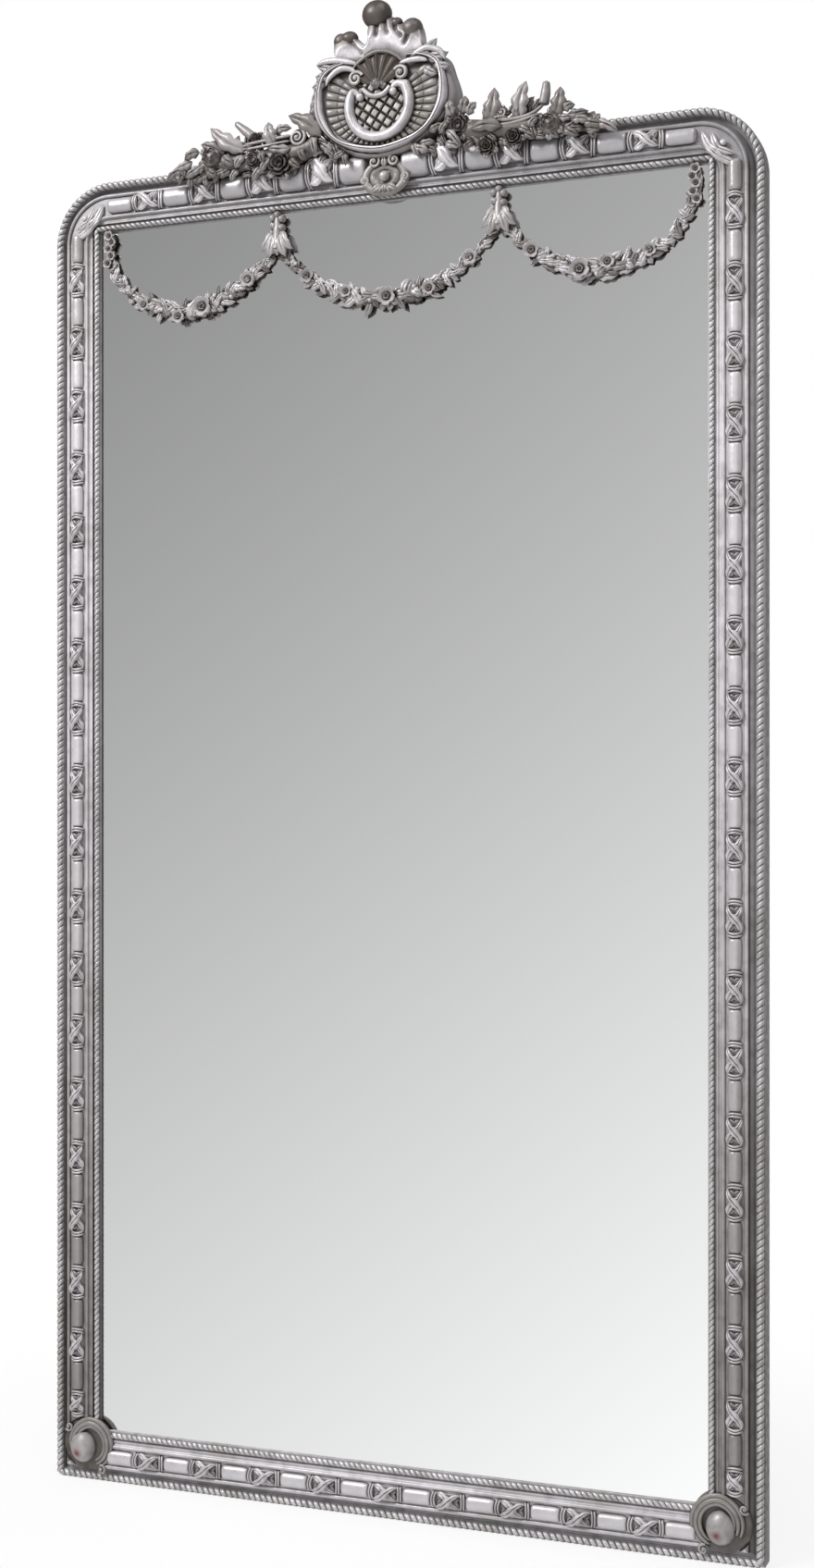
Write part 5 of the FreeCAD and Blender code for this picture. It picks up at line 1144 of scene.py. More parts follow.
def carve_garland(side):
    """Roses and pointed leaves beside the cartouche, over the top rail."""
    sign = SIGNS[side]
    forms = GARLANDS[side]
    carving = Carving()
    core = smooth_line(np.array(GARLAND_CORE) * (sign, 1), GARLAND_STEPS)
    radii = spread(GARLAND_CORE_RADII, len(core))
    tube(carving, with_depth(core, GARLAND_CORE_DEPTH), radii, GARLAND_CORE_SIDES, GARLAND_CORE_WEAR)
    shelf_up = FRAME_TOP + GARLAND_SHELF_UP
    shelf = [(sign * across, shelf_up, depth) for across, depth, radius in GARLAND_SHELF]
    tube(carving, shelf, [radius for across, depth, radius in GARLAND_SHELF], wear=GARLAND_CORE_WEAR)
    garland_foliage(carving, sign)
    for number, (root_x, root_up, tip_x, tip_up, width, lift) in enumerate(forms["leaves"]):
        sway = GARLAND_LEAF_SWAY_SHARE * (-1) ** number
        lobes = LARGE_LOBES if width > GARLAND_WIDE_LEAF else SMALL_LOBES
        leaf = (width, GARLAND_DEPTH + lift, GARLAND_LEAF_RISE, (sway, sway / 2), lobes, GARLAND_LEAF_CURL)
        wear = GARLAND_LEAF_WEARS[0] + GARLAND_LEAF_WEARS[1] * (number % 2)
        blade(carving, (root_x, root_up), (tip_x, tip_up), *leaf, GARLAND_LEAF_THICK, wear)
    for path, radii in forms["stems"]:
        stem(carving, path, radii, GARLAND_DEPTH + GARLAND_STEM_LIFT, TUBE_SIDES, GARLAND_STEM_WEAR)
    for number, (across, up, radius) in enumerate(forms["roses"]):
        place = np.array((across, up), dtype=float)
        petal_ring(carving, place, radius, GARLAND_DEPTH, GARLAND_PETALS, number)
        sizes = (radius, GARLAND_DEPTH, radius * GARLAND_ROSE_SHARE, number * GARLAND_ROSE_TURN)
        rose(carving, place, *sizes, wear=GARLAND_ROSE_WEAR)
    for across, up, radius in forms["coils"]:
        pad, flat = COIL_PAD_SHARES
        ball(carving, (across, up, GARLAND_DEPTH), radius * pad, flat, wear=COIL_PAD_WEAR)
        reach, lift, thick = (radius * share for share in COIL_SHARES)
        wind = (COIL_TURNS, COIL_START, sign)
        volute(carving, (across, up), reach, GARLAND_DEPTH + lift, thick, *wind)
    for across, up, radius in forms["domes"]:
        place = np.array((across, up), dtype=float)
        petal_ring(carving, place, radius, GARLAND_DEPTH, GARLAND_PETALS + 1, DOME_RING_TURN)
        dome, flat = DOME_SHARES
        ball(carving, (across, up, GARLAND_DEPTH), radius * dome, flat, wear=DOME_WEAR)
        reach, rise = (radius * share for share in DOME_ROSE_SHARES)
        depth = GARLAND_DEPTH + DOME_ROSE_LIFT
        rose(carving, place, reach, depth, rise, DOME_ROSE_TURN, wear=DOME_ROSE_WEAR)
    carving.piece("rose_garland_" + side, side + "_garland", SILVER_GARLAND)


# Crest

def cartouche_line(shares, scale=1.0):
    """A closed outline of the cartouche from its half, scaled about its middle."""
    whole = list(shares) + [(-out, up) for out, up in reversed(shares[1:-1])]
    size = np.array((CARTOUCHE_HALF_WIDTH, CARTOUCHE_HALF_HEIGHT)) * scale
    return smooth_line(whole, CARTOUCHE_STEPS, closed=True) * size + (0.0, CARTOUCHE_UP)


def side_leaves(carving, leaves, depth, rise, curl, thick, sway_share, lobes, wear):
    """Leaves that spread to both sides of the crest and sway back to its middle."""
    for root_x, root_up, tip_x, tip_up, width in leaves:
        sway = -math.copysign(sway_share, tip_x)
        bend = (rise, (sway, sway), lobes, curl, thick)
        blade(carving, (root_x, root_up), (tip_x, tip_up), width, depth, *bend, wear)


def carve_cartouche():
    """The cartouche's flange, beaded on its left, its rim, a sunk ground, and scrolled shoulders."""
    carving = Carving()
    outer = cartouche_line(CARTOUCHE_SHARES)
    rim = cartouche_line(RIM_SHARES)
    beads = np.abs(np.sin(np.linspace(0, FLANGE_BEADS * math.pi, len(outer), endpoint=False)))
    beads = np.where(outer[:, 0] < 0, beads, 0.0)
    low = outer[:, 1] < CARTOUCHE_LOW
    under = (outer[:, 1] > CARTOUCHE_UP) & (np.abs(outer[:, 0] - SHELL_PLACE[0]) < SHELL_GAP)
    rows = [with_depth(cartouche_line(RIM_SHARES, 0.0), FLANGE_STEPS[0][1])]
    shades = [FLANGE_WEAR]
    for share, depth in FLANGE_STEPS:
        beaded = FLANGE_BEAD_SHARES[0] < share < FLANGE_BEAD_SHARES[1]
        depths = depth + FLANGE_BEAD_RISE * beads * beaded
        depths = np.where(under, np.minimum(depths, CREST_GROUND), depths)
        depths = np.where(low, np.maximum(depths, COVER_DEPTH), depths)
        rows.append(with_depth(outer + (rim - outer) * share, depths))
        shades.append(RIM_WEAR if RIM_EDGES[0] < share < RIM_EDGES[1] else FLANGE_WEAR)
    for scale in GROUND_SHARES:
        rows.append(with_depth(cartouche_line(RIM_SHARES, scale), CREST_GROUND))
        shades.append(GROUND_WEAR)
    carving.add(np.stack(rows), wrap_columns=True, wear=np.array(shades)[:, None])
    for path, radii in SHOULDERS:
        stem(carving, path, radii, SHOULDER_DEPTH, SHOULDER_SIDES, SHOULDER_WEAR)
    side_leaves(carving, SHOULDER_LEAVES, *SHOULDER_LEAF)
    carving.piece("beaded_cartouche", "cartouche", SILVER_LEAF)


def carve_ribs():
    """Radial ribs from the scroll out to the rim."""
    carving = Carving()
    rim = cartouche_line(RIM_SHARES, RIB_RIM_SHARE)
    centre = np.array(SCROLL_PLACE)
    angle = math.pi / 2 + np.linspace(RIB_GAP, 2 * math.pi - RIB_GAP, RIB_COUNT * RIB_STEPS + 1)
    rim_angle = np.arctan2(rim[:, 1] - centre[1], rim[:, 0] - centre[0])
    rim_reach = np.hypot(*(rim - centre).T)
    order = np.argsort(rim_angle)
    reach = np.interp(angle, rim_angle[order], rim_reach[order], period=2 * math.pi)
    reach = np.maximum(reach, RIB_LEAST)
    wave = np.abs(np.sin(np.linspace(0, RIB_COUNT * math.pi, len(angle)))) ** RIB_POWER
    rows = []
    for share, high in RIB_STEP_SHARES:
        places = centre + around(angle) * (RIB_START + (reach - RIB_START) * share)[:, None]
        rows.append(with_depth(places, RIB_FLOOR + RIB_RISE * wave * high))
    carving.add(np.stack(rows), wear=RIB_WEARS[0] - RIB_WEARS[1] * wave)
    carving.piece("gadroon_ribs", "cartouche_ribs", SILVER_CREST)


def carve_scroll():
    """The C-scroll with ball ends."""
    carving = Carving()
    angle = np.radians(np.linspace(*SCROLL_ANGLES, SCROLL_ARC_POINTS))
    arc = np.array(SCROLL_PLACE) + around(angle) * SCROLL_MEAN
    line = smooth_line(np.concatenate([SCROLL_HEAD, arc, SCROLL_TAIL]), SCROLL_STEPS)
    radii = SCROLL_TUBE * np.interp(np.linspace(0, 1, len(line)), *np.array(SCROLL_TAPER_SHARES).T)
    tube(carving, with_depth(line, SCROLL_DEPTH), radii, SCROLL_SIDES)
    for across, up, radius in SCROLL_BALLS:
        ball(carving, (across, up, SCROLL_BALL_DEPTH), radius, wear=SCROLL_BALL_WEAR)
    carving.piece("round_c_scroll", "c_scroll", SILVER_LEAF)


def carve_lattice():
    """A field of small pyramids in a slanted grid."""
    carving = Carving()
    reach = np.linspace(0, LATTICE_RADIUS, LATTICE_GRID[0])[:, None]
    field = reach[..., None] * around(full_turn(LATTICE_GRID[1]))
    first = field @ around(LATTICE_SKEW) / LATTICE_PITCH
    second = field @ around(math.pi - LATTICE_SKEW / LATTICE_LEAN_SHARE) / LATTICE_PITCH
    near = np.maximum(np.abs(first - np.round(first)), np.abs(second - np.round(second)))
    high = np.clip((LATTICE_SLOPE_SHARES[0] - near) / LATTICE_SLOPE_SHARES[1], 0.0, 1.0) ** LATTICE_POWER
    grid = with_depth(field + np.array(SCROLL_PLACE), LATTICE_FLOOR + LATTICE_RISE * high)
    bright = np.sin(np.round(first) * LATTICE_MIX[0] + np.round(second) * LATTICE_MIX[1])
    dark, pale, mix = LATTICE_WEARS
    carving.add(grid, wrap_columns=True, wear=dark - high * (pale + mix * bright))
    carving.piece("pyramid_lattice", "lattice_panel", SILVER_CREST)


def carve_shell():
    """A dark fluted shell under an arch, with a tongue below it and a volute on each side."""
    carving = Carving()
    angle = np.radians(np.linspace(-SHELL_HALF_ANGLE, SHELL_HALF_ANGLE, SHELL_FLUTES * SHELL_STEPS + 1))
    share = np.linspace(0, 1, SHELL_ROWS)[:, None]
    wave = np.abs(np.cos(np.linspace(0, SHELL_FLUTES * math.pi, len(angle)))) ** SHELL_FLUTE_POWER
    reach = SHELL_REACH[0] + (SHELL_REACH[1] + SHELL_REACH[2] * np.cos(angle)) * share
    places = np.array(SHELL_PLACE) + np.stack([np.sin(angle) * reach, np.cos(angle) * reach], axis=-1)
    crown = SHELL_RISE * np.sin(share * math.pi * SHELL_CROWN_SHARE)
    depth = SHELL_DEPTH + crown - SHELL_GROOVE * wave * share ** SHELL_GROOVE_POWER
    least, edge, groove = SHELL_WEARS
    wear = np.clip(least + edge * share + groove * wave ** SHELL_WEAR_POWER, 0.0, 1.0)
    carving.add(with_depth(places, depth), wear=wear)
    arch = smooth_line(SHELL_ARCH, SHELL_ARCH_STEPS)
    ends = np.sin(np.linspace(SHELL_ARCH_END, math.pi - SHELL_ARCH_END, len(arch)))
    girth = SHELL_ARCH_RADIUS * ends ** SHELL_ARCH_POWER
    tube(carving, with_depth(arch, SHELL_ARCH_DEPTH), girth, wear=SHELL_ARCH_WEAR)
    for tip_x, tip_up, width in SHELL_TONGUES:
        leaf = (width, SHELL_TONGUE_DEPTH, SHELL_TONGUE_RISE)
        blade(carving, SHELL_TONGUE_ROOT, (tip_x, tip_up), *leaf, wear=SHELL_TONGUE_WEAR)
    smile = with_depth(smooth_line(SHELL_SMILE, SHELL_SMILE_STEPS), SHELL_SMILE_DEPTH)
    tube(carving, smile, SHELL_SMILE_RADIUS, wear=SHELL_SMILE_WEAR)
    for across, up, radius, start, hand in SHELL_VOLUTES:
        volute(carving, (across, up), radius, SHELL_SMILE_DEPTH, VOLUTE_THICK, VOLUTE_TURNS, start, hand)
    carving.piece("fluted_shell", "shell", SILVER_CREST)


def carve_plume():
    """The plume: one pale lobed web with clefts, dark knobs on its lobes and leaves at its sides."""
    carving = Carving()
    high = smooth_line(WEB_HIGH, WEB_STEPS)
    base = smooth_line(WEB_LOW, WEB_STEPS)
    low = np.stack([spread(values, len(high)) for values in base.T], axis=-1)
    rise = np.linspace(0, 1, WEB_ROWS)[:, None]
    places = low + (high - low) * rise[..., None]
    depth = np.interp(rise, *np.array(WEB_RISE).T) * np.ones(len(high))
    wear = np.full(depth.shape, WEB_WEAR)
    for across, up, wide, tall, dark in KNOBS:
        ball(carving, (across, up, KNOB_DEPTH), wide, KNOB_FLAT_SHARE, (1.0, tall / wide), dark)
        gap = np.linalg.norm(places - (across, up), axis=-1) / (wide * KNOB_STAIN_SHARE)
        wear = np.maximum(wear, WEB_WEAR + STAIN_REACH_SHARE * np.exp(-gap ** 4))
    for path in CLEFTS:
        line = smooth_line(path, WEB_STEPS)
        gap = np.linalg.norm(places[:, :, None] - line, axis=-1).min(axis=-1) / CLEFT_WIDTH
        depth = depth - CLEFT_CUT * np.exp(-gap ** 2)
        wear = wear + CLEFT_WEAR * np.exp(-gap ** 2)
    front = with_depth(places, depth)
    back = [with_depth(line, WEB_BACK)[None] for line in (high, low)]
    dull = np.full((2, len(high)), WEB_BACK_WEAR)
    carving.add(np.concatenate([front, *back, front[:1]]), wear=np.concatenate([wear, dull, wear[:1]]))
    side_leaves(carving, PLUME_LEAVES, *PLUME_LEAF)
    carving.piece("acanthus_plume", "plume", SILVER_LEAF)


def carve_bracket():
    """The small shield below the cartouche: bowed bands round a boss, with two eyes above."""
    carving = Carving()
    centre = np.array(BRACKET_PLACE)
    spun(carving, centre, BRACKET_OUTLINE, BRACKET_OVAL_SHARES, BRACKET_WEAR)
    ball(carving, (*centre, BRACKET_BALL_DEPTH), BRACKET_BALL, wear=BRACKET_BALL_WEAR)
    for sign in SIGNS.values():
        for out, up, radius, depth, start, hand in BRACKET_VOLUTES:
            wind = (BRACKET_VOLUTE_THICK, BRACKET_VOLUTE_TURNS, start, hand * sign)
            volute(carving, centre + (sign * out, up), radius, depth, *wind)
        for root_x, root_up, tip_x, tip_up, width in BRACKET_LEAVES:
            root = centre + (sign * root_x, root_up)
            tip = centre + (sign * tip_x, tip_up)
            blade(carving, root, tip, width, BRACKET_BALL_DEPTH, BRACKET_LEAF_RISE)
    carving.piece("scrolled_bracket", "crest_bracket", SILVER_CREST)


# Materials

# Worn leaf: colour, reach of the hollows' shade in millimetres, roughness and how mottled it is
LEAF_LOOK = ((0.70, 0.67, 0.70), 11.0, 0.40, 1.0)
GARLAND_LOOK = ((0.52, 0.49, 0.49), 12.0, 0.42, 1.0)
CREST_LOOK = ((0.52, 0.50, 0.485), 5.0, 0.42, 1.0)
SWAG_LOOK = ((0.66, 0.635, 0.65), 9.0, 0.42, 1.0)
BAR_LOOK = ((0.86, 0.83, 0.865), 4.5, 0.34, 0.25)
TWIST_LOOK = ((0.86, 0.83, 0.86), 2.8, 0.38, 0.8)
ROPE_LOOK = ((0.84, 0.815, 0.83), 5.0, 0.36, 1.0)
MOULDING_LOOK = ((0.86, 0.83, 0.865), 1.8, 0.40, 0.7)

# Plain surfaces: two colours, scale of the grain, roughness, metal and the grain's stretch
EVEN = (1.0, 1.0, 1.0)
BOARD_LOOK = ((0.30, 0.22, 0.14), (0.40, 0.30, 0.20), 300.0, 0.75, 0.0, EVEN)
TIMBER_LOOK = ((0.46, 0.33, 0.20), (0.60, 0.45, 0.29), 40.0, 0.6, 0.0, (1.0, 8.0, 8.0))
FELT_LOOK = ((0.05, 0.05, 0.055), (0.10, 0.10, 0.105), 900.0, 0.9, 0.0, EVEN)
STEEL_LOOK = ((0.50, 0.50, 0.48), (0.66, 0.66, 0.64), 160.0, 0.32, 1.0, EVEN)
RUBBER_LOOK = ((0.02, 0.02, 0.02), (0.05, 0.05, 0.05), 400.0, 0.7, 0.0, EVEN)

# Layers over the leaf
PALE_SILVER = (0.70, 0.67, 0.715)
OLIVE_GREY = (0.30, 0.28, 0.24)
WORN_BROWN = (0.062, 0.044, 0.032)
RED_BOLE = (0.20, 0.045, 0.045)
# Painted shade, near black, on faces turned sideways such as the frame's outer sides
SIDE_SHADE_TONE = (0.065, 0.059, 0.057)
MIRROR_TONE = (0.90, 0.905, 0.905, 1.0)
LEAF_METAL = 0.30
DULL_SHARE = 0.62
BROAD_SHARE = 0.5
RAGGED_SHARES = (0.9, -0.45)
DARKEST_SHARE = 0.92
BUMP_DEPTH = 0.8
LEAF_BUMP = 0.22
PLAIN_BUMP = 0.15
PLAIN_GLOSS_SHARE = 0.15

# Noise as scale and detail, stops as places, or as places with levels
SPECK_NOISE = (70.0, 5.0)
BROAD_NOISE = (11.0, 3.0)
GLOSS_NOISE = (120.0, 4.0)
BUMP_NOISE = (260.0, 3.0)
MIRROR_NOISE = (3.0, 2.0)
PLAIN_DETAIL = 6.0
SPECK_STOPS = (0.30, 0.56)
BROAD_STOPS = (0.48, 0.75)
PLAIN_STOPS = (0.35, 0.65)
GLOSS_STOPS = (0.3, 0.7)
GLOSS_SHARES = (-0.08, 0.12)
# How far a face turns sideways before it takes the painted side shade
SIDE_SHADE_STOPS = ((0.90, 0.0), (0.97, 0.95))
MIRROR_STOPS = ((0.4, 0.004), (0.8, 0.012))
HOLLOW_SAMPLES = 8
# Brown patina and painted shade in the hollows, by how open each place is
HOLLOW_TONES = (
    (0.12, (0.075, 0.055, 0.042)), (0.38, (0.235, 0.195, 0.165)), (0.64, (0.63, 0.60, 0.585)),
    (0.90, (1.0, 1.0, 1.0)),
)

# Painted shade, as shares of brightness left: by height in metres on the stiles, and on the other sides
SHADE_HEIGHT_SPAN = 2.0
SHADE_WARMTH_SHARES = (0.0, 0.05, 0.15)
STILE_PAINTED_SHADE = (
    (0.10, 0.40), (0.40, 0.52), (0.70, 0.80), (1.05, 1.0), (1.40, 1.0), (1.58, 0.90), (1.72, 0.52),
)
BAR_SHADE_SHARES = {"top": 0.62, "bottom": 0.88}
TWIST_SHADE_SHARES = {"top": 0.90, "bottom": 0.92, "left": 0.95}
MOULDING_SHADE_SHARES = {"top": 0.42, "bottom": 0.84}
ROPE_SHADE_SHARES = {"top": 0.62, "bottom": 0.9, "left": 0.86}


class Paint:
    """Builds the nodes of a material or a world."""

    def __init__(self, owner):
        owner.use_nodes = True
        self.nodes = owner.node_tree.nodes
        self.links = owner.node_tree.links

    def feed(self, value, socket):
        """Links a socket to another, or sets its value."""
        if isinstance(value, bpy.types.NodeSocket):
            self.links.new(value, socket)
        else:
            socket.default_value = value

    def shade(self, values):
        """Feeds the surface's own sockets."""
        for name, value in values.items():
            self.feed(value, self.nodes["Principled BSDF"].inputs[name])

    def node(self, kind, inputs=None, **settings):
        """The outputs of a new node."""
        made = self.nodes.new("ShaderNode" + kind)
        for name, value in settings.items():
            setattr(made, name, value)
        for name, value in (inputs or {}).items():
            self.feed(value, made.inputs[name])
        return made.outputs

    def maths(self, operation, *values):
        """A sum of sockets and numbers."""
        return self.node("Math", dict(enumerate(values)), operation=operation)[0]

    def axis(self, source, name):
        """One axis of the surface's position or normal."""
        vector = self.node("NewGeometry")[source]
        return self.node("SeparateXYZ", {"Vector": vector})[name]

    def noise(self, scale, detail, stretch=None):
        """Noise in the object's own space, which may be stretched."""
        place = self.node("TexCoord")["Object"]
        if stretch:
            place = self.node("Mapping", {"Vector": place, "Scale": stretch})["Vector"]
        return self.node("TexNoise", {"Vector": place, "Scale": scale, "Detail": detail})["Fac"]

    def layer(self, name):
        """A mesh layer's value; zero on meshes without it."""
        return self.node("Attribute", attribute_name=name)["Fac"]

    def ramp(self, source, stops):
        """A colour ramp fed by a socket."""
        made = self.nodes.new("ShaderNodeValToRGB")
        elements = made.color_ramp.elements
        elements.remove(elements[0])
        elements[0].position = stops[0][0]
        for place, colour in stops[1:]:
            elements.new(place)
        for element, (place, colour) in zip(elements, stops):
            element.color = (*colour, 1.0)
        self.feed(source, made.inputs["Fac"])
        return made.outputs["Color"]

    def greys(self, source, *stops):
        """A ramp of greys through (place, level) pairs."""
        return self.ramp(source, [(place, (level,) * 3) for place, level in stops])

    def mixed(self, share, first, second, blend="MIX"):
        """A colour mixed towards another by a share."""
        inputs = {0: share, 6: first, 7: second}
        return self.node("Mix", inputs, data_type="RGBA", blend_type=blend)[2]

    def smooth_range(self, value, ends):
        """A value taken smoothly from one range to another."""
        limits = dict(zip(("From Min", "From Max", "To Min", "To Max"), ends))
        return self.node("MapRange", {"Value": value, **limits}, interpolation_type="SMOOTHSTEP")["Result"]

    def bump(self, height, strength):
        """A fine roughness of the surface."""
        inputs = {"Strength": strength, "Distance": BUMP_DEPTH * MILLIMETRE, "Height": height}
        return self.node("Bump", inputs)["Normal"]

    def hollow_shade(self, tone, reach):
        """A colour darkened to brown in hollows and gaps as wide as a reach: brown patina and painted
        shade.
        """
        hollow = self.node("AmbientOcclusion", {"Distance": reach * MILLIMETRE}, samples=HOLLOW_SAMPLES)
        return self.mixed(1.0, tone, self.ramp(hollow["AO"], HOLLOW_TONES), "MULTIPLY")

    def height_shade(self, tone, fade):
        """A colour dulled and warmed by height: painted shade."""
        stops = []
        for up, share in fade:
            tint = tuple(share * (1 - warmth * (1 - share)) for warmth in SHADE_WARMTH_SHARES)
            stops.append((up / SHADE_HEIGHT_SPAN, tint))
        height = self.maths("DIVIDE", self.axis("Position", "Z"), SHADE_HEIGHT_SPAN)
        return self.mixed(1.0, tone, self.ramp(height, stops), "MULTIPLY")


def silver(name, bright, hollow_reach, rough, mottle, fade=None, painted_side_shade=False):
    """Worn silver leaf: mottled, brown with patina and painted shade in the hollows, pale or worn or rubbed
    red where its layers say; it may also take painted shade by height and on faces turned sideways.
    """
    material = bpy.data.materials.new(name)
    paint = Paint(material)
    speck = paint.noise(*SPECK_NOISE)
    dull = tuple(level * (1 - (1 - DULL_SHARE) * mottle) for level in bright)
    tone = paint.ramp(speck, list(zip(SPECK_STOPS, (dull, bright))))
    broad = paint.greys(paint.noise(*BROAD_NOISE), *zip(BROAD_STOPS, (0.0, BROAD_SHARE * mottle)))
    wear = paint.layer("wear")
    ragged = paint.maths("MULTIPLY_ADD", speck, *RAGGED_SHARES)
    dark = paint.maths("MULTIPLY_ADD", wear, 1.0, paint.maths("MULTIPLY", ragged, wear))
    dark = paint.maths("MINIMUM", paint.maths("MAXIMUM", dark, 0.0), DARKEST_SHARE)
    pale = paint.maths("MAXIMUM", paint.maths("MULTIPLY", wear, -1.0), 0.0)
    colours = (OLIVE_GREY, PALE_SILVER, WORN_BROWN, RED_BOLE)
    for share, colour in zip((broad, pale, dark, paint.layer("rub")), colours):
        tone = paint.mixed(share, tone, (*colour, 1.0))
    # Painted shade by height, on the stiles
    if fade:
        tone = paint.height_shade(tone, fade)
    tone = paint.hollow_shade(tone, hollow_reach)
    # Painted shade: faces turned sideways go almost black
    if painted_side_shade:
        turned = paint.maths("ABSOLUTE", paint.axis("Normal", "X"))
        tone = paint.mixed(paint.greys(turned, *SIDE_SHADE_STOPS), tone, (*SIDE_SHADE_TONE, 1.0))
    levels = [rough + more for more in GLOSS_SHARES]
    paint.shade({
        "Base Color": tone,
        "Metallic": LEAF_METAL,
        "Roughness": paint.greys(paint.noise(*GLOSS_NOISE), *zip(GLOSS_STOPS, levels)),
        "Normal": paint.bump(paint.noise(*BUMP_NOISE), LEAF_BUMP),
    })
    return material


def side_silvers(name, shares, bright, hollow_reach, rough, mottle, painted_side_shade=False):
    """The same worn leaf for the rails and the stiles in copies with painted shade: darker by a side's
    share, or on the stiles duller low down.
    """
    found = {}
    for side in ("top", "bottom", "left"):
        # Painted shade: each side's copy is darkened by its share
        share = shares.get(side, 1.0)
        tone = tuple(level * share for level in bright)
        fade = None if side in shares else STILE_PAINTED_SHADE
        found[side] = silver(name + "_" + side, tone, hollow_reach, rough, mottle, fade, painted_side_shade)
    found["right"] = found["left"]
    return found


def plain(name, first, second, scale, rough, metallic, stretch):
    """A matt or metal surface with a streaked or mottled colour."""
    material = bpy.data.materials.new(name)
    paint = Paint(material)
    grain = paint.noise(scale, PLAIN_DETAIL, stretch)
    levels = (rough, min(1.0, rough + PLAIN_GLOSS_SHARE))
    paint.shade({
        "Base Color": paint.ramp(grain, list(zip(PLAIN_STOPS, (first, second)))),
        "Metallic": metallic,
        "Roughness": paint.greys(grain, *zip(GLOSS_STOPS, levels)),
        "Normal": paint.bump(grain, PLAIN_BUMP),
    })
    return material


def mirror_material():
    """Silvered glass, with a breath of unevenness in its polish."""
    material = bpy.data.materials.new("silvered_glass")
    paint = Paint(material)
    polish = paint.greys(paint.noise(*MIRROR_NOISE), *MIRROR_STOPS)
    paint.shade({"Base Color": MIRROR_TONE, "Metallic": 1.0, "Roughness": polish})
    return material


SILVER_LEAF = silver("silver_leaf", *LEAF_LOOK)
SILVER_GARLAND = silver("silver_leaf_garlands", *GARLAND_LOOK)
SILVER_CREST = silver("silver_leaf_crest", *CREST_LOOK)
SILVER_SWAG = silver("silver_leaf_swags", *SWAG_LOOK)
SILVER_BARS = side_silvers("silver_leaf_bars", BAR_SHADE_SHARES, *BAR_LOOK)
SILVER_TWISTS = side_silvers("silver_leaf_twists", TWIST_SHADE_SHARES, *TWIST_LOOK)
SILVER_ROPES = side_silvers("silver_leaf_rope", ROPE_SHADE_SHARES, *ROPE_LOOK)
SILVER_MOULDINGS = side_silvers("silver_leaf_moulding", MOULDING_SHADE_SHARES, *MOULDING_LOOK, painted_side_shade=True)
MIRROR = mirror_material()
BOARD = plain("fibreboard", *BOARD_LOOK)
TIMBER = plain("softwood", *TIMBER_LOOK)
FELT = plain("felt", *FELT_LOOK)
STEEL = plain("zinc_steel", *STEEL_LOOK)
RUBBER = plain("bumper_rubber", *RUBBER_LOOK)

NODE_MATERIALS = {
    "mirror_glass": MIRROR,
    "backing_felt": FELT,
    "backing_board": BOARD,
    "wall_bumpers": RUBBER,
    "frame_dowels": TIMBER,
    "crest_dowels": TIMBER,
}
STEEL_WORDS = ("screws", "clips", "plates", "straps", "hanger")
# Which side's copy, with its painted shade, each moulding node takes
MOULDING_WORDS = {
    "stile": "left",
    "bottom_rail": "bottom",
    "top_rail": "top",
    "_corner": "top",
    "crest_board": "top",
}


def dress_nodes():
    """Gives each node that stays in view its material."""
    for name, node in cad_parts.items():
        material = NODE_MATERIALS.get(name)
        if any(word in name for word in STEEL_WORDS):
            material = STEEL
        for word, side in MOULDING_WORDS.items():
            if material is None and word in name:
                material = SILVER_MOULDINGS[side]
        if material is not None:
            node.data.materials.clear()
            node.data.materials.append(material)


# Stage, in metres

FLOOR_HALF = 3.0
FLOOR_CORNERS = ((-1, -1), (1, -1), (1, 1), (-1, 1))
FLOOR_TONE = (0.97, 0.97, 0.97, 1.0)
FLOOR_ROUGHNESS = 0.9
FLOOR_FADE = (0.35, 1.25, 0.18, 0.0)
GLOSS_LEVEL = (0.449, 0.913, -0.541, 0.30, 2.2, 1.11)
GLOSS_SIDE = (0.10, 0.75, 1.0, 0.22)
ROOM_LEVEL = (0.10, 0.46)
LIGHTS = (
    ("key", (-1.7, -2.2, 3.4), (0.0, 0.0, 1.3), 1.2, 85.0),
    ("top", (0.9, -1.2, 3.9), (0.0, 0.0, 1.6), 1.0, 14.0),
)


def make_floor():
    """A pale floor that fades away round the mirror."""
    mesh = bpy.data.meshes.new("floor")
    corners = [(across * FLOOR_HALF, along * FLOOR_HALF, 0.0) for across, along in FLOOR_CORNERS]
    mesh.from_pydata(corners, [], [(0, 1, 2, 3)])
    floor = bpy.data.objects.new("floor", mesh)
    bpy.context.scene.collection.objects.link(floor)
    material = bpy.data.materials.new("pale_floor")
    paint = Paint(material)
    reach = paint.node("VectorMath", {0: paint.node("TexCoord")["Object"]}, operation="LENGTH")["Value"]
    alpha = paint.smooth_range(reach, FLOOR_FADE)
    paint.shade({"Base Color": FLOOR_TONE, "Roughness": FLOOR_ROUGHNESS, "Alpha": alpha})
    mesh.materials.append(material)
    floor.visible_glossy = False


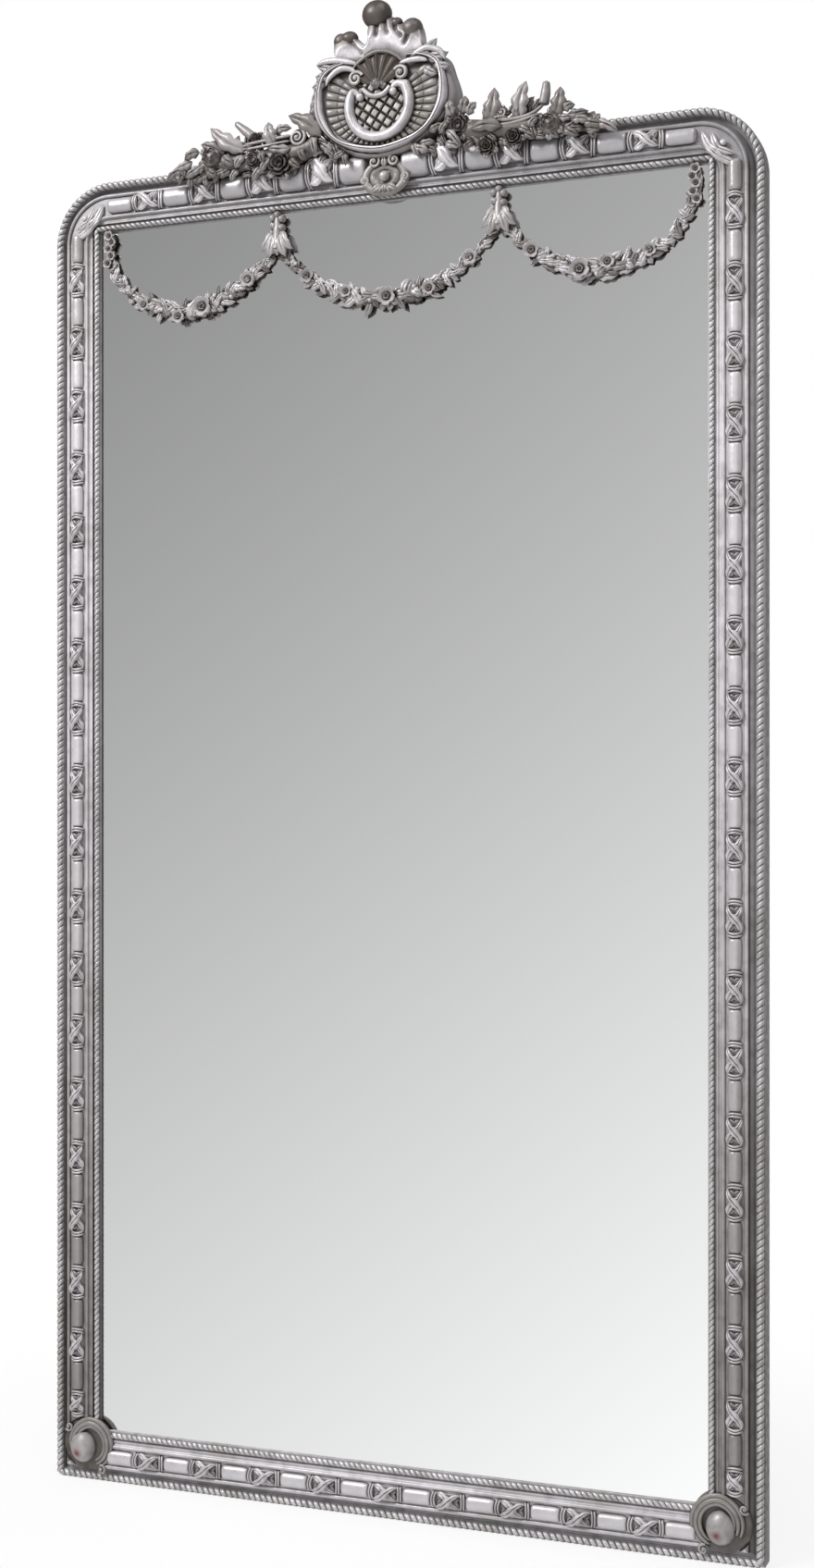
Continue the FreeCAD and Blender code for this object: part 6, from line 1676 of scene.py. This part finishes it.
def make_world():
    """Even white light, and for reflections a soft gradient that is brighter low down and to one side."""
    world = bpy.data.worlds.new("studio")
    bpy.context.scene.world = world
    paint = Paint(world)
    way = paint.node("SeparateXYZ", {"Vector": paint.node("TexCoord")["Generated"]})
    slope, base, fall, least, power, strength = GLOSS_LEVEL
    level = paint.maths("MULTIPLY_ADD", way["X"], slope, base)
    level = paint.maths("MULTIPLY_ADD", way["Z"], fall, level)
    level = paint.maths("MINIMUM", paint.maths("MAXIMUM", level, least), 1.0)
    tone = paint.maths("MULTIPLY", paint.maths("POWER", level, power), strength)
    tone = paint.maths("MULTIPLY", tone, paint.smooth_range(way["X"], GLOSS_SIDE))
    rays = paint.node("LightPath")
    room = paint.maths("MULTIPLY_ADD", way["Z"], *ROOM_LEVEL)
    level = paint.maths("MAXIMUM", rays["Is Camera Ray"], room)
    seen = paint.node("Mix", {"Factor": rays["Is Glossy Ray"], "A": level, "B": tone})["Result"]
    background = paint.nodes["Background"].inputs
    paint.feed(seen, background["Color"])
    background["Strength"].default_value = 1.0


def area_light(name, place, target, size, power):
    """A soft square light aimed at a point."""
    data = bpy.data.lights.new(name, "AREA")
    data.size = size
    data.energy = power
    light = bpy.data.objects.new(name, data)
    light.location = place
    aim = np.asarray(target) - np.asarray(place)
    turn = math.atan2(aim[1], aim[0]) - math.pi / 2
    tilt = math.atan2(math.hypot(aim[0], aim[1]), -aim[2])
    light.rotation_euler = (tilt, 0.0, turn)
    bpy.context.scene.collection.objects.link(light)


def make_camera():
    """The photograph's view: level, from the right, with the frame shifted a little."""
    data = bpy.data.cameras.new("camera")
    data.lens = CAMERA_LENS
    data.shift_y = CAMERA_SHIFT
    camera = bpy.data.objects.new("camera", data)
    camera.location = (CAMERA_PLACE[0], CAMERA_PLACE[1] + BACK_Y, CAMERA_PLACE[2])
    camera.rotation_euler = (math.pi / 2, 0.0, CAMERA_YAW)
    bpy.context.scene.collection.objects.link(camera)
    bpy.context.scene.camera = camera


carve_ropes()
carve_band()
carve_swags()
for side in SIGNS:
    carve_boss(side)
    carve_drop(side)
    carve_garland(side)
carve_cartouche()
carve_ribs()
carve_scroll()
carve_lattice()
carve_shell()
carve_plume()
carve_bracket()
dress_nodes()
make_floor()
make_world()
for light in LIGHTS:
    area_light(*light)
make_camera()
bpy.context.scene.view_settings.view_transform = "Standard"
